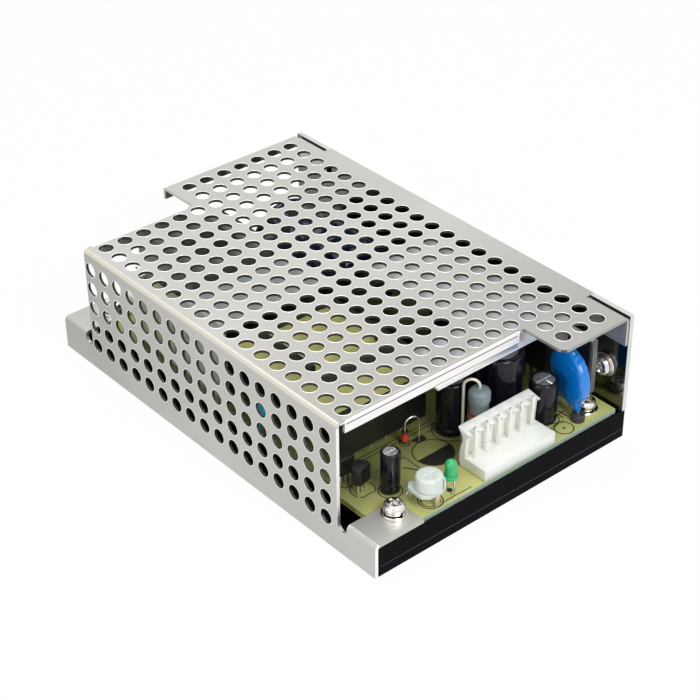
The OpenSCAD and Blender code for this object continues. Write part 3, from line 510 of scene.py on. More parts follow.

# ---------------------------------------------------------------- circuit board
# Pale yellow green laminate with a bare cut edge that is drawn pale, partly its own colour
# and partly a painted highlight; painted shade darkens it where it lies deep in the case.
# Its upper side carries black printed outlines, drawn here as thin raised strokes without lettering.
board_top = 9.1
board_end = 63.5
print_w, fine_w, bold_w = 0.3, 0.25, 0.4
ink_h = 0.03
laminate, tree, main = finish("laminate", (0.56, 0.60, 0.20), 0, 0.35)
weave = cloud(tree, (1, 1, 1), 90, 4.0)
tree.links.new(bands(tree, weave, [(0.3, (0.58, 0.59, 0.20)), (0.7, (0.68, 0.68, 0.27))]),
               main.inputs["Base Color"])
# The cut edge is drawn pale green, partly its bare colour and partly a painted highlight.
cut_edge = between(tree, place(tree, "X"), (board_end - 0.08) * mm, (board_end - 0.01) * mm, 0, 1)
blend_to(tree, main, "Base Color", cut_edge, (0.62, 0.80, 0.62))
# Painted shade: the laminate is darkened where it lies deep in the case.
deep_inside = times(tree, between(tree, place(tree, "X"), 0.040, 0.060, 0.9, 0),
                    between(tree, place(tree, "X"), -0.057, -0.040, 0, 1))
blend_to(tree, main, "Base Color", deep_inside, (0.16, 0.17, 0.05))
relief(tree, main, cloud(tree, (1, 1, 1), 1500, 2.0), 0.04, 0.00003)
paint_nodes(laminate, "circuit_board")
ink = finish("print_ink", (0.015, 0.015, 0.012), 0, 0.5)[0]


def stroke(path, width=print_w, closed=False):
    """A flat line on the board: the path with half its width laid off to both sides."""
    p = np.array(path, float)
    if closed:
        p = np.concatenate([p, p[:1]])
    along = np.gradient(p, axis=0)
    if closed:
        along[0] = along[-1] = p[1] - p[-2]
    along /= np.linalg.norm(along, axis=1, keepdims=True)
    side = np.stack([along[:, 1], -along[:, 0]], 1) * width / 2
    level = np.full((len(p), 1), board_top + ink_h)
    rows = np.stack([np.concatenate([p + side, level], 1), np.concatenate([p - side, level], 1)], 1)
    return surface(rows[:, ::-1], wrap=False, caps=False)


def arc(x, y, r, start=0, end=360, steps=49):
    """Points on a circle about x, y from start to end in degrees."""
    a = np.radians(np.linspace(start, end, steps))
    return np.stack([x + r * np.cos(a), y + r * np.sin(a)], 1)


def filled(outline):
    """A flat patch of ink inside an anticlockwise outline."""
    return raised(outline, [(0, board_top + 0.002), (0, board_top + ink_h)])


printed = [stroke(arc(x, y, r)[:-1], closed=True) for x, y, r in
           ((60.6, 24.4, 2.5), (60.6, 24.4, 0.25), (46.4, -7.2, 5.3), (38.9, -10.0, 1.3), (38.9, -10.0, 0.5),
            (59.9, -20.6, 2.4), (59.9, -20.6, 3.05), (50.7, -25.3, 3.0), (42.3, 2.5, 4.9),
            (54.3, 22.8, 4.4))]
printed += [stroke(np.concatenate([arc(x, y, 3.1, 40, 320), arc(x, y, 3.1, 40, 40, 1)]))
            for x, y in ((40.6, -30.6), (46.0, -30.0))]
printed.append(filled(arc(46.4, -7.2, 5.1, -90, 90)))
printed.append(filled(arc(59.9, -14.4, 0.8, 0, 345, 24)))
printed.append(filled(round_outline([(39.1, -8.4), (41.4, -7.4), (41.2, -4.6), (39.2, -4.4)], 0.4)))
for width, lines in (
        (print_w, (((36.2, -33), (36.2, 1)), ((37.4, -33), (37.4, 1)), ((39.2, -3), (39.2, 6)),
                   ((53.8, -8), (53.8, 18.4)), ((43, -23), (43, -14)), ((43, -14), (49, -14)),
                   ((57.2, 19.2), (59.6, 22.2)), ((56.4, 20.4), (58.6, 26.6)))),
        (bold_w, (((46.0, -17.0), (49.4, -14.6)), ((52.5, 27.4), (57.5, 27.4)), ((52.5, 28.6), (57.5, 28.6)),
                  ((53.5, 26.6), (53.5, 29.6)), ((55.5, 26.6), (55.5, 29.6)))),
        (fine_w, (((62.4, -18.5), (62.4, -9.5)), ((52.4, -20.8), (56.0, -20.8))))):
    printed += [stroke(line, width) for line in lines]
piece("board_print", printed, ink)

# ---------------------------------------------------------------- board screws and washers
# Pan head screws with a cross recess hold the board to its standoffs, each
# over a split spring washer and a flat washer. All are bright plated steel.
screw_x = 58.3
seats = ((-30.8, 9.9), (34.4, 9.1))     # Y and height of what each pair is seated on
screw_foot = 3.5
head_r, head_h = 2.8, 1.9
shank_r = 1.5
flat_r, flat_h = 3.4, 0.6
spring_r, spring_h = 2.7, 0.8
bore_r = 1.65


def turned(profile, steps=48, spot=(0, 0, 0), closed=False):
    """A profile of radius and height turned about an upright axis through spot; a closed
    profile comes back to its first point and needs no end faces."""
    p = np.array(profile, float)
    if closed:
        p = np.concatenate([p, p[:1]])
    a = np.linspace(0, 2 * np.pi, steps, endpoint=False)
    z = np.broadcast_to(p[:, 1:], (len(p), steps))
    grid = np.stack([p[:, :1] * np.cos(a), p[:, :1] * np.sin(a), z], -1)
    return surface(grid + np.array(spot, float), caps=not closed)


def carved(profile, cut, steps=96, spot=(0, 0, 0)):
    """A turned profile whose height is lowered by cut, a function of the flat X and Y."""
    points, quads, ends = turned(profile, steps)
    points = points.copy()
    points[:, 2] -= cut(points[:, 0], points[:, 1]) * (points[:, 2] > 0.3 * profile[-1][1])
    return points + np.array(spot, float), quads, ends


def cross(x, y):
    """The cross recess: two crossed grooves that run out before the rim."""
    half_w, reach, depth = 0.38, 1.55, 0.9
    arm_x = (np.abs(y) < half_w) * np.clip((reach - np.abs(x)) / 0.5, 0, 1)
    arm_y = (np.abs(x) < half_w) * np.clip((reach - np.abs(y)) / 0.5, 0, 1)
    return depth * np.maximum(arm_x, arm_y)


def screw(shank):
    """A pan head screw with its seat at 0, pointing down by shank."""
    rings = np.linspace(1.9, 0.02, 26)
    face = np.stack([rings, head_h - 0.1 * (rings / 1.9) ** 2], 1)
    body = [[shank_r, -shank], [shank_r, 0.0], [head_r - 0.15, 0.0], [head_r, 0.15], [head_r, 0.8],
            [head_r - 0.1, 1.15], [head_r - 0.35, 1.5], [head_r - 0.62, 1.7]]
    return carved(np.concatenate([body, face]), cross, 120)


def split_ring(spot):
    """A spring washer: a square section carried round a circle that climbs a little from
    one side of the cut to the other."""
    rise, gap = 0.35, 16
    a = np.radians(np.linspace(gap / 2, 360 - gap / 2, 60))[:, None]
    half = (spring_r - bore_r) / 2
    square = np.array([[half, 0], [half, spring_h - rise], [-half, spring_h - rise], [-half, 0]])
    r = (bore_r + spring_r) / 2 + square[None, :, 0]
    z = square[None, :, 1] + rise * (a / (2 * np.pi))
    grid = np.stack([r * np.cos(a), r * np.sin(a), z], -1)[:, ::-1]
    return surface(grid[::-1] + np.array(spot, float))


def washer(spot):
    """A flat washer with slightly rounded edges."""
    rim = 0.12
    section = [(flat_r - rim, 0), (flat_r, rim), (flat_r, flat_h - rim), (flat_r - rim, flat_h),
               (bore_r + rim, flat_h), (bore_r, flat_h - rim), (bore_r, rim), (bore_r + rim, 0)]
    return turned(section, 48, spot, closed=True)


def shifted(part, spot):
    """The same surface moved by spot."""
    return part[0] + np.array(spot, float), part[1], part[2]


plated = plain("plated_steel", (0.80, 0.78, 0.74), 1, 0.12, ["standoffs", "tab_screws"], 0.05)
spots = [(sx * screw_x, y, z) for sx in (-1, 1) for y, z in seats]
stack_h = flat_h + spring_h
heads = [shifted(screw(z + stack_h - screw_foot), (x, y, z + stack_h)) for x, y, z in spots]
piece("board_screw_heads", heads, plated, ["board_screws"])
piece("split_washers", [split_ring((x, y, z + flat_h)) for x, y, z in spots],
      plated, ["spring_washers"])
piece("round_washers", [washer(s) for s in spots], plated, ["flat_washers"])

# The earth screw lies level: it goes through the chassis wall from the
# inside, with one flat washer.
earth = (58.2, 41.0, 20.1)
level_out = ((1, 0, 0), (0, 0, 1), (0, -1, 0))
piece("earth_washer_ring", [on_plane(washer((0, 0, 0)), earth, *level_out)], plated,
      ["earth_washer"])
under_head = (earth[0], earth[1] - flat_h, earth[2])
piece("earth_screw_head", [on_plane(screw(flat_h + 1.4), under_head, *level_out)],
      plated, ["earth_screw"])

# ---------------------------------------------------------------- pin headers
# Milky nylon: a low base along the board's edge and a latch wall behind the
# pins, whose front is split by a slot at each pin. The wall is waisted below
# its top plate.
pitch = 3.96
header_out_y, header_out_n = 6.1, 6
header_in_y, header_in_n = -15.0, 5
slot_half = 1.1


def header_body(y_mid, count):
    """The section across the header carried along Y. Its front face steps back from
    the tooth line to the slot line at every pin, over a short slope."""
    half = (count * pitch + 0.4) / 2
    middle = (np.arange(count) - (count - 1) / 2) * pitch
    slope = 0.14
    soft = 0.15
    steps = np.array([-slot_half - slope, -slot_half, slot_half, slot_half + slope])
    marks_y = np.concatenate([[-half, -half + soft], (middle[:, None] + steps).ravel(), [half - soft, half]])
    deep = np.concatenate([[0, 0], np.tile([0.0, 1.0, 1.0, 0.0], count), [0, 0]])
    ends = np.concatenate([[soft, 0], np.zeros(4 * count), [0, soft]])
    tooth = round_outline([(54.7, 9.1), (63.5, 9.1), (63.5, 12.3), (56.2, 12.3), (56.6, 18.4), (57.9, 19.75),
                           (53.5, 20.6), (55.5, 18.1), (54.2, 13.8), (54.2, 10.7)],
                          (0.2, 0.25, 0.3, 0.3, 0.4, 0.2, 0.2, 1.5, 1.5, 0.4), 6)
    gap = round_outline([(54.7, 9.1), (63.5, 9.1), (63.5, 12.3), (55.6, 12.3), (55.6, 18.4), (55.8, 20.1),
                         (53.5, 20.6), (55.3, 18.1), (54.2, 13.8), (54.2, 10.7)],
                        (0.2, 0.25, 0.3, 0.3, 0.6, 0.2, 0.2, 1.0, 1.5, 0.4), 6)
    section = tooth[None] * (1 - deep[:, None, None]) + gap[None] * deep[:, None, None]
    centre = section.mean(1, keepdims=True)
    section = section + (centre - section) * (ends[:, None, None] / 4)
    along = np.broadcast_to((marks_y + y_mid)[:, None, None], section.shape[:2] + (1,))
    grid = np.concatenate([section[..., :1], along, section[..., 1:]], -1)
    return surface(grid[:, ::-1])


def around(x, y, half_x, half_y):
    """The corners of a rectangle about x, y."""
    return rectangle(x - half_x, y - half_y, x + half_x, y + half_y)


nylon = plain("natural_nylon", (0.90, 0.93, 0.88), 0, 0.22, [], 0.03, 200,
              Subsurface_Weight=0.35, Subsurface_Scale=0.002, Subsurface_Radius=(1, 1, 1))
dash = raised(round_outline(around(0, 0, 0.8, 0.15), 0.1), [(0, 0), (0.05, 0.12)])
left_end = header_out_y - (header_out_n * pitch + 0.4) / 2
end_mark = on_plane(dash, (57.0, left_end, 13.4), (0.94, 0, 0.34), (-0.34, 0, 0.94), (0, -1, 0))
piece("output_header_body", [header_body(header_out_y, header_out_n), end_mark],
      nylon, ["output_header"], crease=35)
turn_about = ((-1, 0, 0), (0, -1, 0), (0, 0, 1))
piece("input_header_body", [on_plane(header_body(-header_in_y, header_in_n), (0, 0, 0), *turn_about)],
      nylon, ["input_header"], crease=35)

# Square tinned pins with rounded ends stand in the header's base and reach
# through the board.
pin_x, pin_w = 57.4, 0.9
pin_foot, pin_top = 5.5, 21.4


def pin_at(x, y):
    """A square pin, its corners rounded and its top drawn in over four levels."""
    outline = round_outline(around(x, y, pin_w / 2, pin_w / 2), 0.18, 4)
    return raised(outline, [(0.22, pin_foot), (0, pin_foot + 0.5), (0, pin_top - 0.6), (0.06, pin_top - 0.35),
                            (0.16, pin_top - 0.12), (0.3, pin_top)])


pins_out = header_out_y + (np.arange(header_out_n) - (header_out_n - 1) / 2) * pitch
pins_in = header_in_y + (np.arange(0, header_in_n, 2) - (header_in_n - 1) / 2) * pitch
pin_metal = plain("pin_metal", (0.93, 0.91, 0.84), 0.85, 0.28, [], 0.03)
piece("output_contact_pins", [pin_at(pin_x, y) for y in pins_out], pin_metal, ["output_pins"])
piece("input_contact_pins", [pin_at(-pin_x, y) for y in pins_in], pin_metal, ["input_pins"])

# ---------------------------------------------------------------- trimmer
# A round white knob with a shallow cross recess turns in a flat white frame,
# which rises as a guard on its far side and stands on three flat legs.
trim_x, trim_y = 60.4, -21.6
frame_low, frame_high = 12.7, 14.0
knob_low = 14.15
knob_r, knob_h = 3.4, 3.9


def shallow_cross(x, y):
    """The recess: two shallow crossed grooves with soft edges."""
    slot = np.clip((0.5 - np.abs(y)) / 0.2, 0, 1) * np.clip((2.0 - np.abs(x)) / 0.3, 0, 1)
    bar = np.clip((0.5 - np.abs(x)) / 0.2, 0, 1) * np.clip((2.0 - np.abs(y)) / 0.3, 0, 1)
    return 0.22 * np.maximum(slot, bar)


white = plain("white_plastic", (0.70, 0.76, 0.71), 0, 0.2, [], 0.03, 200,
              Subsurface_Weight=0.35, Subsurface_Scale=0.0015, Subsurface_Radius=(1, 1, 1))
knob_top = np.linspace(knob_r - 0.9, 0.02, 34)
knob_side = [[knob_r - 0.2, 0], [knob_r, 0.2], [knob_r, knob_h - 0.7], [knob_r - 0.12, knob_h - 0.35],
             [knob_r - 0.4, knob_h - 0.1]]
knob_profile = np.concatenate([knob_side, np.stack([knob_top, np.full(34, knob_h)], 1)])
spindle = turned([(1.8, frame_low - 0.6), (1.8, knob_low + 0.05)], 32, (trim_x, trim_y, 0))
piece("trimmer_dial", [carved(knob_profile, shallow_cross, 120, (trim_x, trim_y, knob_low)), spindle],
      white, ["trimmer_knob"], body="knob")
frame_corners = [(-3.6, -3.6), (1.0, -3.6), (2.6, -2.0), (2.6, 2.6), (1.4, 4.0), (-3.6, 4.0), (-3.6, 0),
                 (-5.1, -2.0)]
frame_shape = round_outline([(trim_x + x, trim_y + y) for x, y in frame_corners], 0.35)
guard_r, guard_w, guard_h = 4.0, 0.45, 1.9
guard_line = np.concatenate([arc(0, 0, guard_r, 35, 100, 24), arc(0, 0, guard_r - guard_w, 100, 35, 24)])
guard = raised(guard_line + (trim_x, trim_y), soft_edges(frame_high - 0.2, frame_high + guard_h, 0.12))
piece("trimmer_base", [raised(frame_shape, soft_edges(frame_low, frame_high, 0.15)), guard],
      white, ["trimmer_frame"])


def tube(path, radius, side, steps=12):
    """A round lead: a circle carried along a path that lies in one plane, whose
    upright is side; the circle stays square to the path."""
    p = np.array(path, float)
    along = np.gradient(p, axis=0)
    along /= np.linalg.norm(along, axis=1, keepdims=True)
    across = np.broadcast_to(np.array(side, float) / np.linalg.norm(side), p.shape)
    third = np.cross(along, across)
    a = np.linspace(0, 2 * np.pi, steps, endpoint=False)[None, :, None]
    grid = p[:, None] + radius * (np.cos(a) * third[:, None] + np.sin(a) * across[:, None])
    return surface(grid[:, ::-1])


leg_metal = plain("beige_leg", (0.70, 0.62, 0.44), 0.5, 0.35, [], 0.05)
leg_spots = ((2.2, 0.8), (-2.6, 2.8), (-4.0, -1.8))
piece("trimmer_strips", [raised(round_outline(around(trim_x + x, trim_y + y, 0.2, 0.7), 0.08, 3),
                                [(0, board_top), (0, frame_low)]) for x, y in leg_spots],
      leg_metal, ["trimmer_legs"])

# ---------------------------------------------------------------- indicator lamp
# A small green resin lens with a flange stands up off the board on two
# square leads.
led_x, led_y, led_z = 60.7, -14.9, 13.7
lens_a = np.linspace(0, np.pi / 2 - 0.02, 12)
lens_profile = np.concatenate([[[1.7, 0], [1.85, 0.12], [1.85, 0.78], [1.72, 0.9], [1.5, 0.92]],
                               np.stack([1.5 * np.cos(lens_a), 3.8 + 1.5 * np.sin(lens_a)], 1)])
lens = plain("green_resin", (0.04, 0.50, 0.19), 0, 0.08, [], 0.05, 200,
             Subsurface_Weight=0.4, Subsurface_Scale=0.0015, Subsurface_Radius=(0.3, 1, 0.4))
piece("lamp_lens", [turned(lens_profile, 48, (led_x, led_y, led_z))], lens, ["led_lens"])
lead_metal = plain("lead_metal", (0.86, 0.85, 0.80), 1, 0.18,
                   ["rectifier_tabs", "rectifier_legs", "switch_tab", "transformer_pins", "fuse_caps"], 0.05)


def square_lead(x, y, low, high, w=0.5):
    """An upright square lead with slightly rounded corners."""
    return raised(round_outline(around(x, y, w / 2, w / 2), 0.08, 3), [(0, low), (0, high)])


piece("lamp_leads", [square_lead(led_x + dx, led_y, board_top, led_z) for dx in (-1.27, 1.27)],
      lead_metal, ["led_leads"])

# ---------------------------------------------------------------- electrolytic capacitors
# Drawn aluminium cans in shrunk glossy sleeves. The sleeve draws in at the bead near
# the foot and turns over the rim, and the top is scored crosswise. Each can is given by
# its X, Y, diameter and height.
small = ((50.7, -25.3, 5.0, 11.5), (54.3, 22.8, 7.6, 12.1), (22.0, 18.0, 6.3, 11.0), (12.0, 27.0, 6.3, 11.0))
outputs = ((42.3, 2.5, 8.0, 15.4), (45.4, 16.1, 12.0, 19.5), (31.0, 20.0, 8.0, 15.4))
lift = 0.5


def sleeve(d, h, spot):
    """The sleeve's profile: foot, bead, straight wall, rounded shoulder and inner rim."""
    r = d / 2
    a = np.linspace(0, np.pi / 2, 7)
    bead = np.linspace(1.3, 2.9, 9)
    dip = 0.035 * d * np.sin(np.pi * (bead - 1.3) / 1.6) ** 2
    e = 0.07 * d
    profile = np.concatenate([
        [[r * 0.7, 0.12], [r - 0.5, 0], [r - 0.12, 0.1], [r, 0.35]], np.stack([r - dip, bead], 1),
        [[r, h - e - 0.6]],
        np.stack([r - e * (1 - np.cos(a)), h - e + e * np.sin(a)], 1),
        [[r * 0.76, h - 0.02], [r * 0.72, h - 0.12], [r * 0.72, h - 0.5]]])
    return turned(profile, 64, spot)


def scored_top(d, h, spot):
    """The can's top inside the sleeve's rim: a flat disc with a pressed cross."""
    r = d / 2 * 0.735

    def score(x, y):
        """How deep the cross is pressed at x, y."""
        near = np.minimum(np.abs(x), np.abs(y))
        return 0.14 * np.clip(1 - near / 0.3, 0, 1)

    rings = np.linspace(r, 0.02, 24)
    profile = np.concatenate([[[r, h - 1.2]], np.stack([rings, np.full(24, h - 0.1)], 1)])
    return carved(profile, score, 96, spot)


black_sleeve, tree, main = finish("black_sleeve", (0.005, 0.005, 0.010), 0, 0.14, Specular_IOR_Level=0.35)
relief(tree, main, cloud(tree, (900, 900, 120), 1.0, 3.0), 0.12, 0.00010)
can, tree, main = finish("drawn_can", (0.80, 0.81, 0.83), 1, 0.2)
relief(tree, main, cloud(tree, (1, 1, 1), 700, 3.0), 0.35, 0.0002)
for size, cans in (("small", small), ("output", outputs)):
    piece(f"{size}_capacitor_sleeves", [sleeve(d, h, (x, y, board_top + lift)) for x, y, d, h in cans],
          black_sleeve, [f"{size}_sleeves"])
    piece(f"{size}_capacitor_tops", [scored_top(d, h, (x, y, board_top + lift)) for x, y, d, h in cans],
          can, [f"{size}_cans"])

# The reservoir capacitor lies along the case in a blue black sleeve.
bulk_r, bulk_l = 12.25, 35.0
bulk_spot = (-42.5, 17.6, board_top + bulk_r)
blue_sleeve, tree, main = finish("blue_black_sleeve", (0.010, 0.016, 0.045), 0, 0.14, Coat_Weight=0.5,
                                 Coat_Roughness=0.06)
relief(tree, main, cloud(tree, (120, 700, 700), 1.0, 3.0), 0.2, 0.00015)
piece("reservoir_sleeve", [on_plane(sleeve(2 * bulk_r, bulk_l, (0, 0, 0)), bulk_spot, *facing_x)],
      blue_sleeve, ["bulk_sleeve"])
piece("reservoir_top", [on_plane(scored_top(2 * bulk_r, bulk_l, (0, 0, 0)), bulk_spot, *facing_x)],
      can, ["bulk_can"])

# ---------------------------------------------------------------- load resistor and signal diode
# Both stand on end, with the upper lead bent over and down to the board. The
# resistor is a grey coated bone shape with a red band, the diode red glass.
load_x, load_y, load_r = 50.0, 4.6, 2.8
load_z0, load_z1 = 9.7, 25.0
diode_x, diode_y = 39.0, -10.1
diode_z0, diode_z1 = 9.9, 13.3


def bone(r, z0, z1, cap_h, waist, steps=9):
    """The resistor's profile: domed caps that blend into a slightly thinner waist."""
    a = np.linspace(0, np.pi / 2, steps)
    e = r * 0.62
    foot = np.stack([r - e + e * np.sin(a), z0 + e * 0.7 * (1 - np.cos(a))], 1)
    top = np.stack([r - e + e * np.cos(a), z1 - e * 0.7 * (1 - np.sin(a))], 1)
    blend = np.linspace(0, 1, 6)
    ease = blend ** 2 * (3 - 2 * blend)
    low = np.stack([r - waist * ease, z0 + cap_h + blend * 0.9], 1)
    high = np.stack([r - waist * (1 - ease), z1 - cap_h - 0.9 + blend * 0.9], 1)
    return np.concatenate([[[0.4, z0]], foot, low, high, top, [[0.4, z1 + 0.05]]])


coat = (0.20, 0.25, 0.27)
grey, tree, main = finish("grey_coating", coat, 0, 0.38)
tree.links.new(bands(tree, between(tree, place(tree, "Z"), load_z0 * mm, load_z1 * mm, 0, 1),
                     [(0.0, coat), (0.50, (0.42, 0.03, 0.03)), (0.565, coat), (0.745, (0.55, 0.56, 0.42)),
                      (0.762, coat)], hard=True), main.inputs["Base Color"])
relief(tree, main, cloud(tree, (1, 1, 1), 900, 3.0), 0.1, 0.0001)
piece("load_resistor_body", [turned(bone(load_r, load_z0, load_z1, 3.3, 0.35), 64, (load_x, load_y, 0))],
      grey, ["load_resistor"])


def loop_path(x, y, angle, low, bend, span, end):
    """Up from low, over in a half circle and down to end, in the upright plane at angle."""
    a = np.radians(angle)
    t = np.linspace(np.pi, 0, 21)
    s = np.concatenate([[0, 0], span / 2 + span / 2 * np.cos(t), [span, span]])
    z = np.concatenate([[low, (low + bend) / 2], bend + span / 2 * np.sin(t), [(bend + end) / 2, end]])
    return np.stack([x + s * np.cos(a), y + s * np.sin(a), z], 1), (-np.sin(a), np.cos(a), 0)


cream_lead = plain("cream_lead", (0.80, 0.78, 0.62), 0.4, 0.3, [], 0.05)
path, side = loop_path(load_x, load_y, 225, load_z1 - 0.4, load_z1 + 0.6, 4, board_top)
piece("resistor_wire", [tube(path, 0.4, side), square_lead(load_x, load_y, board_top, load_z0 + 0.4, 0.7)],
      cream_lead, ["resistor_lead"])
red, tree, main = finish("red_glass", (0.70, 0.035, 0.02), 0, 0.1, Coat_Weight=0.5)
tree.links.new(bands(tree, between(tree, place(tree, "Z"), diode_z0 * mm, diode_z1 * mm, 0, 1),
                     [(0.0, (0.72, 0.05, 0.03)), (0.72, (0.30, 0.01, 0.01)), (0.84, (0.02, 0.01, 0.01))],
                     hard=True), main.inputs["Base Color"])
piece("diode_glass", [turned([(0.35, diode_z0), (0.75, diode_z0 + 0.1), (0.95, diode_z0 + 0.45),
                              (0.95, diode_z0 + 1.2), (0.88, diode_z0 + 1.7), (0.95, diode_z0 + 2.2),
                              (0.95, diode_z1 - 0.45), (0.75, diode_z1 - 0.1), (0.35, diode_z1)], 40,
                             (diode_x, diode_y, 0))], red, ["signal_diode"])
path, side = loop_path(diode_x, diode_y, 75, diode_z1 - 0.3, diode_z1 + 1.4, 4, board_top)
piece("diode_wire", [tube(path, 0.28, side), square_lead(diode_x, diode_y, board_top, diode_z0 + 0.3, 0.45)],
      lead_metal, ["diode_lead"])

# ---------------------------------------------------------------- small transistors
# Black epoxy bodies with one flat face, on three thin legs that spread
# towards the board.
transistors = ((40.8, -31.2, 0), (46.2, -30.6, 15))     # X, Y and turn in degrees
body_low, body_h = 12.1, 4.8
leg_r = 0.25


def turned_about(points_xy, x, y, degrees):
    """Flat points turned by degrees and moved to x, y."""
    c, s = np.cos(np.radians(degrees)), np.sin(np.radians(degrees))
    p = np.array(points_xy, float)
    return np.stack([x + p[:, 0] * c - p[:, 1] * s, y + p[:, 0] * s + p[:, 1] * c], 1)


flat_edge = np.degrees(np.arccos(1.3 / 2.4))
body_shape = arc(0, 0, 2.4, flat_edge, 360 - flat_edge, 40)
epoxy = plain("black_epoxy", (0.014, 0.014, 0.014), 0, 0.35,
              ["rectifier_bodies", "transformer_bobbin", "switch_body", "bridge_rectifier",
               "optocouplers", "control_chip"])
bodies = [raised(turned_about(body_shape, x, y, a), soft_edges(body_low, body_low + body_h, 0.2))
          for x, y, a in transistors]
piece("transistor_bodies", bodies, epoxy, ["small_transistors"])
leg_z = np.linspace(board_top, body_low + 0.1, 7)
leg_out = np.clip((body_low - leg_z) / 3, 0, 1)


def leg(x, y, degrees, offset):
    """One round leg that spreads outwards as it goes down from the body to the board."""
    flat = turned_about(np.stack([0.25 * leg_out, offset * (1 + 0.35 * leg_out)], 1), x, y, degrees)
    return tube(np.concatenate([flat, leg_z[:, None]], 1), leg_r, (1, 0, 0))


piece("transistor_wires", [leg(*spot, offset) for spot in transistors for offset in (-1.27, 0, 1.27)],
      lead_metal, ["transistor_legs"])

# ---------------------------------------------------------------- disc capacitor
# A blue epoxy dipped disc on edge. The dip runs down both leads as tapered
# drips, and a dark bead is threaded on the front lead.
disc_x, disc_y, disc_z = 56.0, 30.4, 20.4
disc_r, disc_half = 7.6, 2.2
disc_turn = -12
drip_x, drip_z = 4.6, -9.3


def dipped(theta, v):
    """The dipped disc: a lens whose radius swells into a drip towards each lead. theta
    goes round the disc and v runs from the back face's middle, over the rim, to the
    front face's middle; the drips thin out towards their tips."""
    tip_r = np.hypot(drip_x, drip_z)
    swell = sum(np.exp(-(np.abs((theta - a + np.pi) % (2 * np.pi) - np.pi) / 0.17) ** 1.5)
                for a in (np.arctan2(drip_z, drip_x), np.arctan2(drip_z, -drip_x)))
    reach = disc_r + (tip_r - disc_r) * swell
    rim = np.sin(v) ** 0.8
    r = reach * rim
    thick = disc_half * np.sign(np.cos(v)) * np.abs(np.cos(v)) ** 0.55 * (0.80 + 0.20 * rim)
    thin = np.clip((r - disc_r * 0.55) / (tip_r - disc_r * 0.55), 0, 1) * swell
    return r * np.cos(theta), -thick * (1 - 0.72 * thin), r * np.sin(theta)


theta, v = np.meshgrid(np.linspace(0, 2 * np.pi, 120, endpoint=False), np.linspace(0.01, np.pi - 0.01, 41))
x, y, z = dipped(theta, v)
c, s = np.cos(np.radians(disc_turn)), np.sin(np.radians(disc_turn))
disc_grid = np.stack([disc_x + x * c - y * s, disc_y + x * s + y * c, disc_z + z], -1)
blue, tree, main = finish("blue_epoxy", (0.002, 0.21, 0.74), 0, 0.12, Coat_Weight=0.6, Coat_Roughness=0.05)
relief(tree, main, cloud(tree, (1, 1, 1), 220, 2.0), 0.12, 0.0003)
piece("dipped_disc", [surface(disc_grid[::-1])], blue, ["disc_capacitor"], crease=80)
bead_spots = [(disc_x + dx * c, disc_y + dx * s) for dx in (-drip_x, drip_x)]
wire_levels = (board_top, board_top + 1.4, disc_z - 8.6)
piece("disc_wires", [tube([(bx, by, level) for level in wire_levels], 0.35, (c, s, 0))
                     for bx, by in bead_spots], lead_metal, ["disc_leads"])
bead_paint = plain("bead_ferrite", (0.035, 0.04, 0.04), 0, 0.5, [], 0.1, 400)
bead_h = 2.1
bead_section = [(1.65, 0), (1.8, 0.15), (1.8, bead_h - 0.15), (1.65, bead_h),
                (0.5, bead_h), (0.4, bead_h - 0.1), (0.4, 0.1), (0.5, 0)]
piece("bead_body", [turned(bead_section, 48, (*bead_spots[1], board_top), closed=True)], bead_paint,
      ["lead_bead"])

# ---------------------------------------------------------------- small blue diode
# A small blue glass diode lies beside the trimmer on its own wire, bent down to the
# board at both ends.
small_y, small_x, small_z = -22.8, 55.6, 10.9
wire_y = np.array([-1.6, -1.6, -1.55, -1.3, 1.3, 1.55, 1.6, 1.6])
bend_z = np.array([board_top, small_z - 0.4, small_z - 0.1, small_z])
wire_z = np.concatenate([bend_z, bend_z[::-1]])
wire_path = np.stack([np.full(8, small_x), small_y + wire_y, wire_z], 1)
piece("small_diode_wire", [tube(wire_path, 0.2, (1, 0, 0), 10)], lead_metal)
glass = turned([(0.25, -1.0), (0.5, -0.85), (0.6, -0.5), (0.6, 0.5), (0.5, 0.85), (0.25, 1.0)], 24)
piece("small_diode_body", [on_plane(glass, (small_x, small_y, small_z), (0, 0, 1), (1, 0, 0), (0, 1, 0))],
      blue)

# ---------------------------------------------------------------- transformer and choke
# Ferrite cores, the transformer's nearly black. Its winding is wrapped in glossy
# yellow polyester tape that bulges slightly between the bobbin's flanges.
wind_y0, wind_y1 = -24.1, -3.9
wind_x0, wind_x1 = 0.8, 21.2
wind_z0, wind_z1 = 12.4, 29.4
plain("dark_ferrite", (0.02, 0.022, 0.02), 0, 0.5, ["transformer_core"])
plain("choke_ferrite", (0.24, 0.25, 0.22), 0, 0.45, ["filter_core"])
plain("dark_bobbin", (0.10, 0.10, 0.07), 0, 0.4, ["filter_bobbin"])
tape, tree, main = finish("yellow_tape", (1.0, 0.98, 0.36), 0, 0.3, Coat_Weight=0.3, Coat_Roughness=0.15)
relief(tree, main, cloud(tree, (150, 60, 150), 1.0, 3.0), 0.5, 0.0006)
wind_loop = round_outline(rectangle(wind_x0, wind_z0, wind_x1, wind_z1), (1.5, 1.5, 3, 3), 9)
wind_t = np.linspace(0, 1, 25)
bulge = -0.25 * (1 - (2 * wind_t - 1) ** 6)
wrap = raised(wind_loop, np.stack([bulge + 0.25, wind_t * (wind_y1 - wind_y0)], 1))
piece("taped_winding", [on_plane(wrap, (0, wind_y0, 0), (1, 0, 0), (0, 0, 1), (0, 1, 0))],
      tape, ["transformer_winding"])
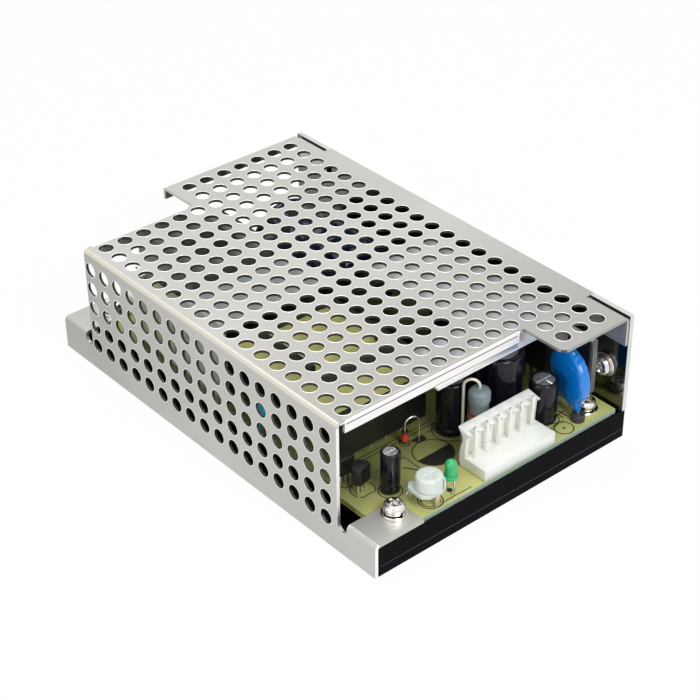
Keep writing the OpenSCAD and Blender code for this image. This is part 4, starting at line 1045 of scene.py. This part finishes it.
# Over the core's near yoke and its output side lies one turn of the same tape,
# stepped down where it leaves the core for the bobbin's rail.
tape_top, tape_h = 26.45, 0.15
near_strip = round_outline(rectangle(-3, -31.2, 36.6, -24.3), 0.4)
piece("tape_over_yoke", [raised(near_strip, [(0, tape_top), (0, tape_top + tape_h)])], tape)
side_x = np.array([28.1, 29.0, 31.0, 32.0, 36.6])
side_z = np.array([tape_top + 0.05, tape_top + 0.02, 25.7, 25.5, 25.45])
section_x = np.concatenate([side_x, side_x[::-1]])
section_z = np.concatenate([side_z, side_z[::-1] + tape_h])
strip_y, strip_x = np.meshgrid(np.linspace(-24.3, -5.5, 9), section_x, indexing="ij")
strip = np.stack([strip_x, strip_y, np.broadcast_to(section_z, strip_x.shape)], -1)
piece("tape_over_rail", [surface(strip[::-1])], tape)
wire, tree, main = finish("enamelled_copper", (0.50, 0.22, 0.08), 0.8, 0.25)
turns = tree.nodes.new("ShaderNodeTexWave")
turns.inputs["Scale"].default_value = 180.0
spot = tree.nodes.new("ShaderNodeTexCoord")
tree.links.new(spot.outputs["Object"], turns.inputs["Vector"])
relief(tree, main, turns.outputs["Fac"], 0.6, 0.0004)
paint_nodes(wire, "filter_windings")

# ---------------------------------------------------------------- heat spreaders and other board parts
# Brushed aluminium heat spreaders, and the parts deep inside that show only
# through the vents.
sink, tree, main = finish("brushed_aluminium", (0.96, 0.98, 1.0), 0.35, 0.4)
brush = cloud(tree, (40, 1500, 1500), 1.0, 3.0)
tree.links.new(between(tree, brush, 0.3, 0.7, 0.36, 0.46), main.inputs["Roughness"])
relief(tree, main, brush, 0.04, 0.00001)
# A narrow band at X 57.6 to 58.3 mm is painted dark: painted shade.
blend_to(tree, main, "Base Color", within(tree, "X", 57.6, 58.3), (0.22, 0.22, 0.21))
paint_nodes(sink, "output_heatsink", "heatsink_spacer")
dull_sink, tree, main = finish("dull_aluminium", (0.80, 0.83, 0.84), 0.5, 0.42)
relief(tree, main, cloud(tree, (40, 1500, 1500), 1.0, 3.0), 0.12, 0.00002)
paint_nodes(dull_sink, "switch_heatsink")
pad = raised(round_outline(rectangle(49.9, 12.9, 57.7, 28.4), 0.3), soft_edges(35.45, 36.17, 0.15))
piece("spreader_pad", [on_plane(pad, (0, 0, 0), (1, 0, 0), (0, 0, 1), (0, 1, 0))], epoxy)
plain("cream_plastic", (0.75, 0.70, 0.52), 0, 0.4, ["line_capacitor"])
cyan = plain("cyan_plastic", (0.01, 0.55, 0.78), 0, 0.3, [])
film_x, film_y, film_z = 12.7, -34.0, 17.8
film_half_x, film_half_y, film_half_z = 2.1, 1.4, 2.0
film_box = raised(round_outline(around(film_x, film_y, film_half_x, film_half_y), 0.5),
                  soft_edges(film_z - film_half_z, film_z + film_half_z, 0.4))
film_leads = [square_lead(film_x + dx, film_y, board_top, film_z - film_half_z + 0.1) for dx in (-1.6, 1.6)]
piece("film_capacitor_body", [film_box, *film_leads], cyan, ["film_capacitor"])
plain("white_ceramic", (0.80, 0.80, 0.76), 0, 0.3, ["fuse_tube"])
plain("green_black_coating", (0.03, 0.05, 0.035), 0, 0.5, ["thermistor"])
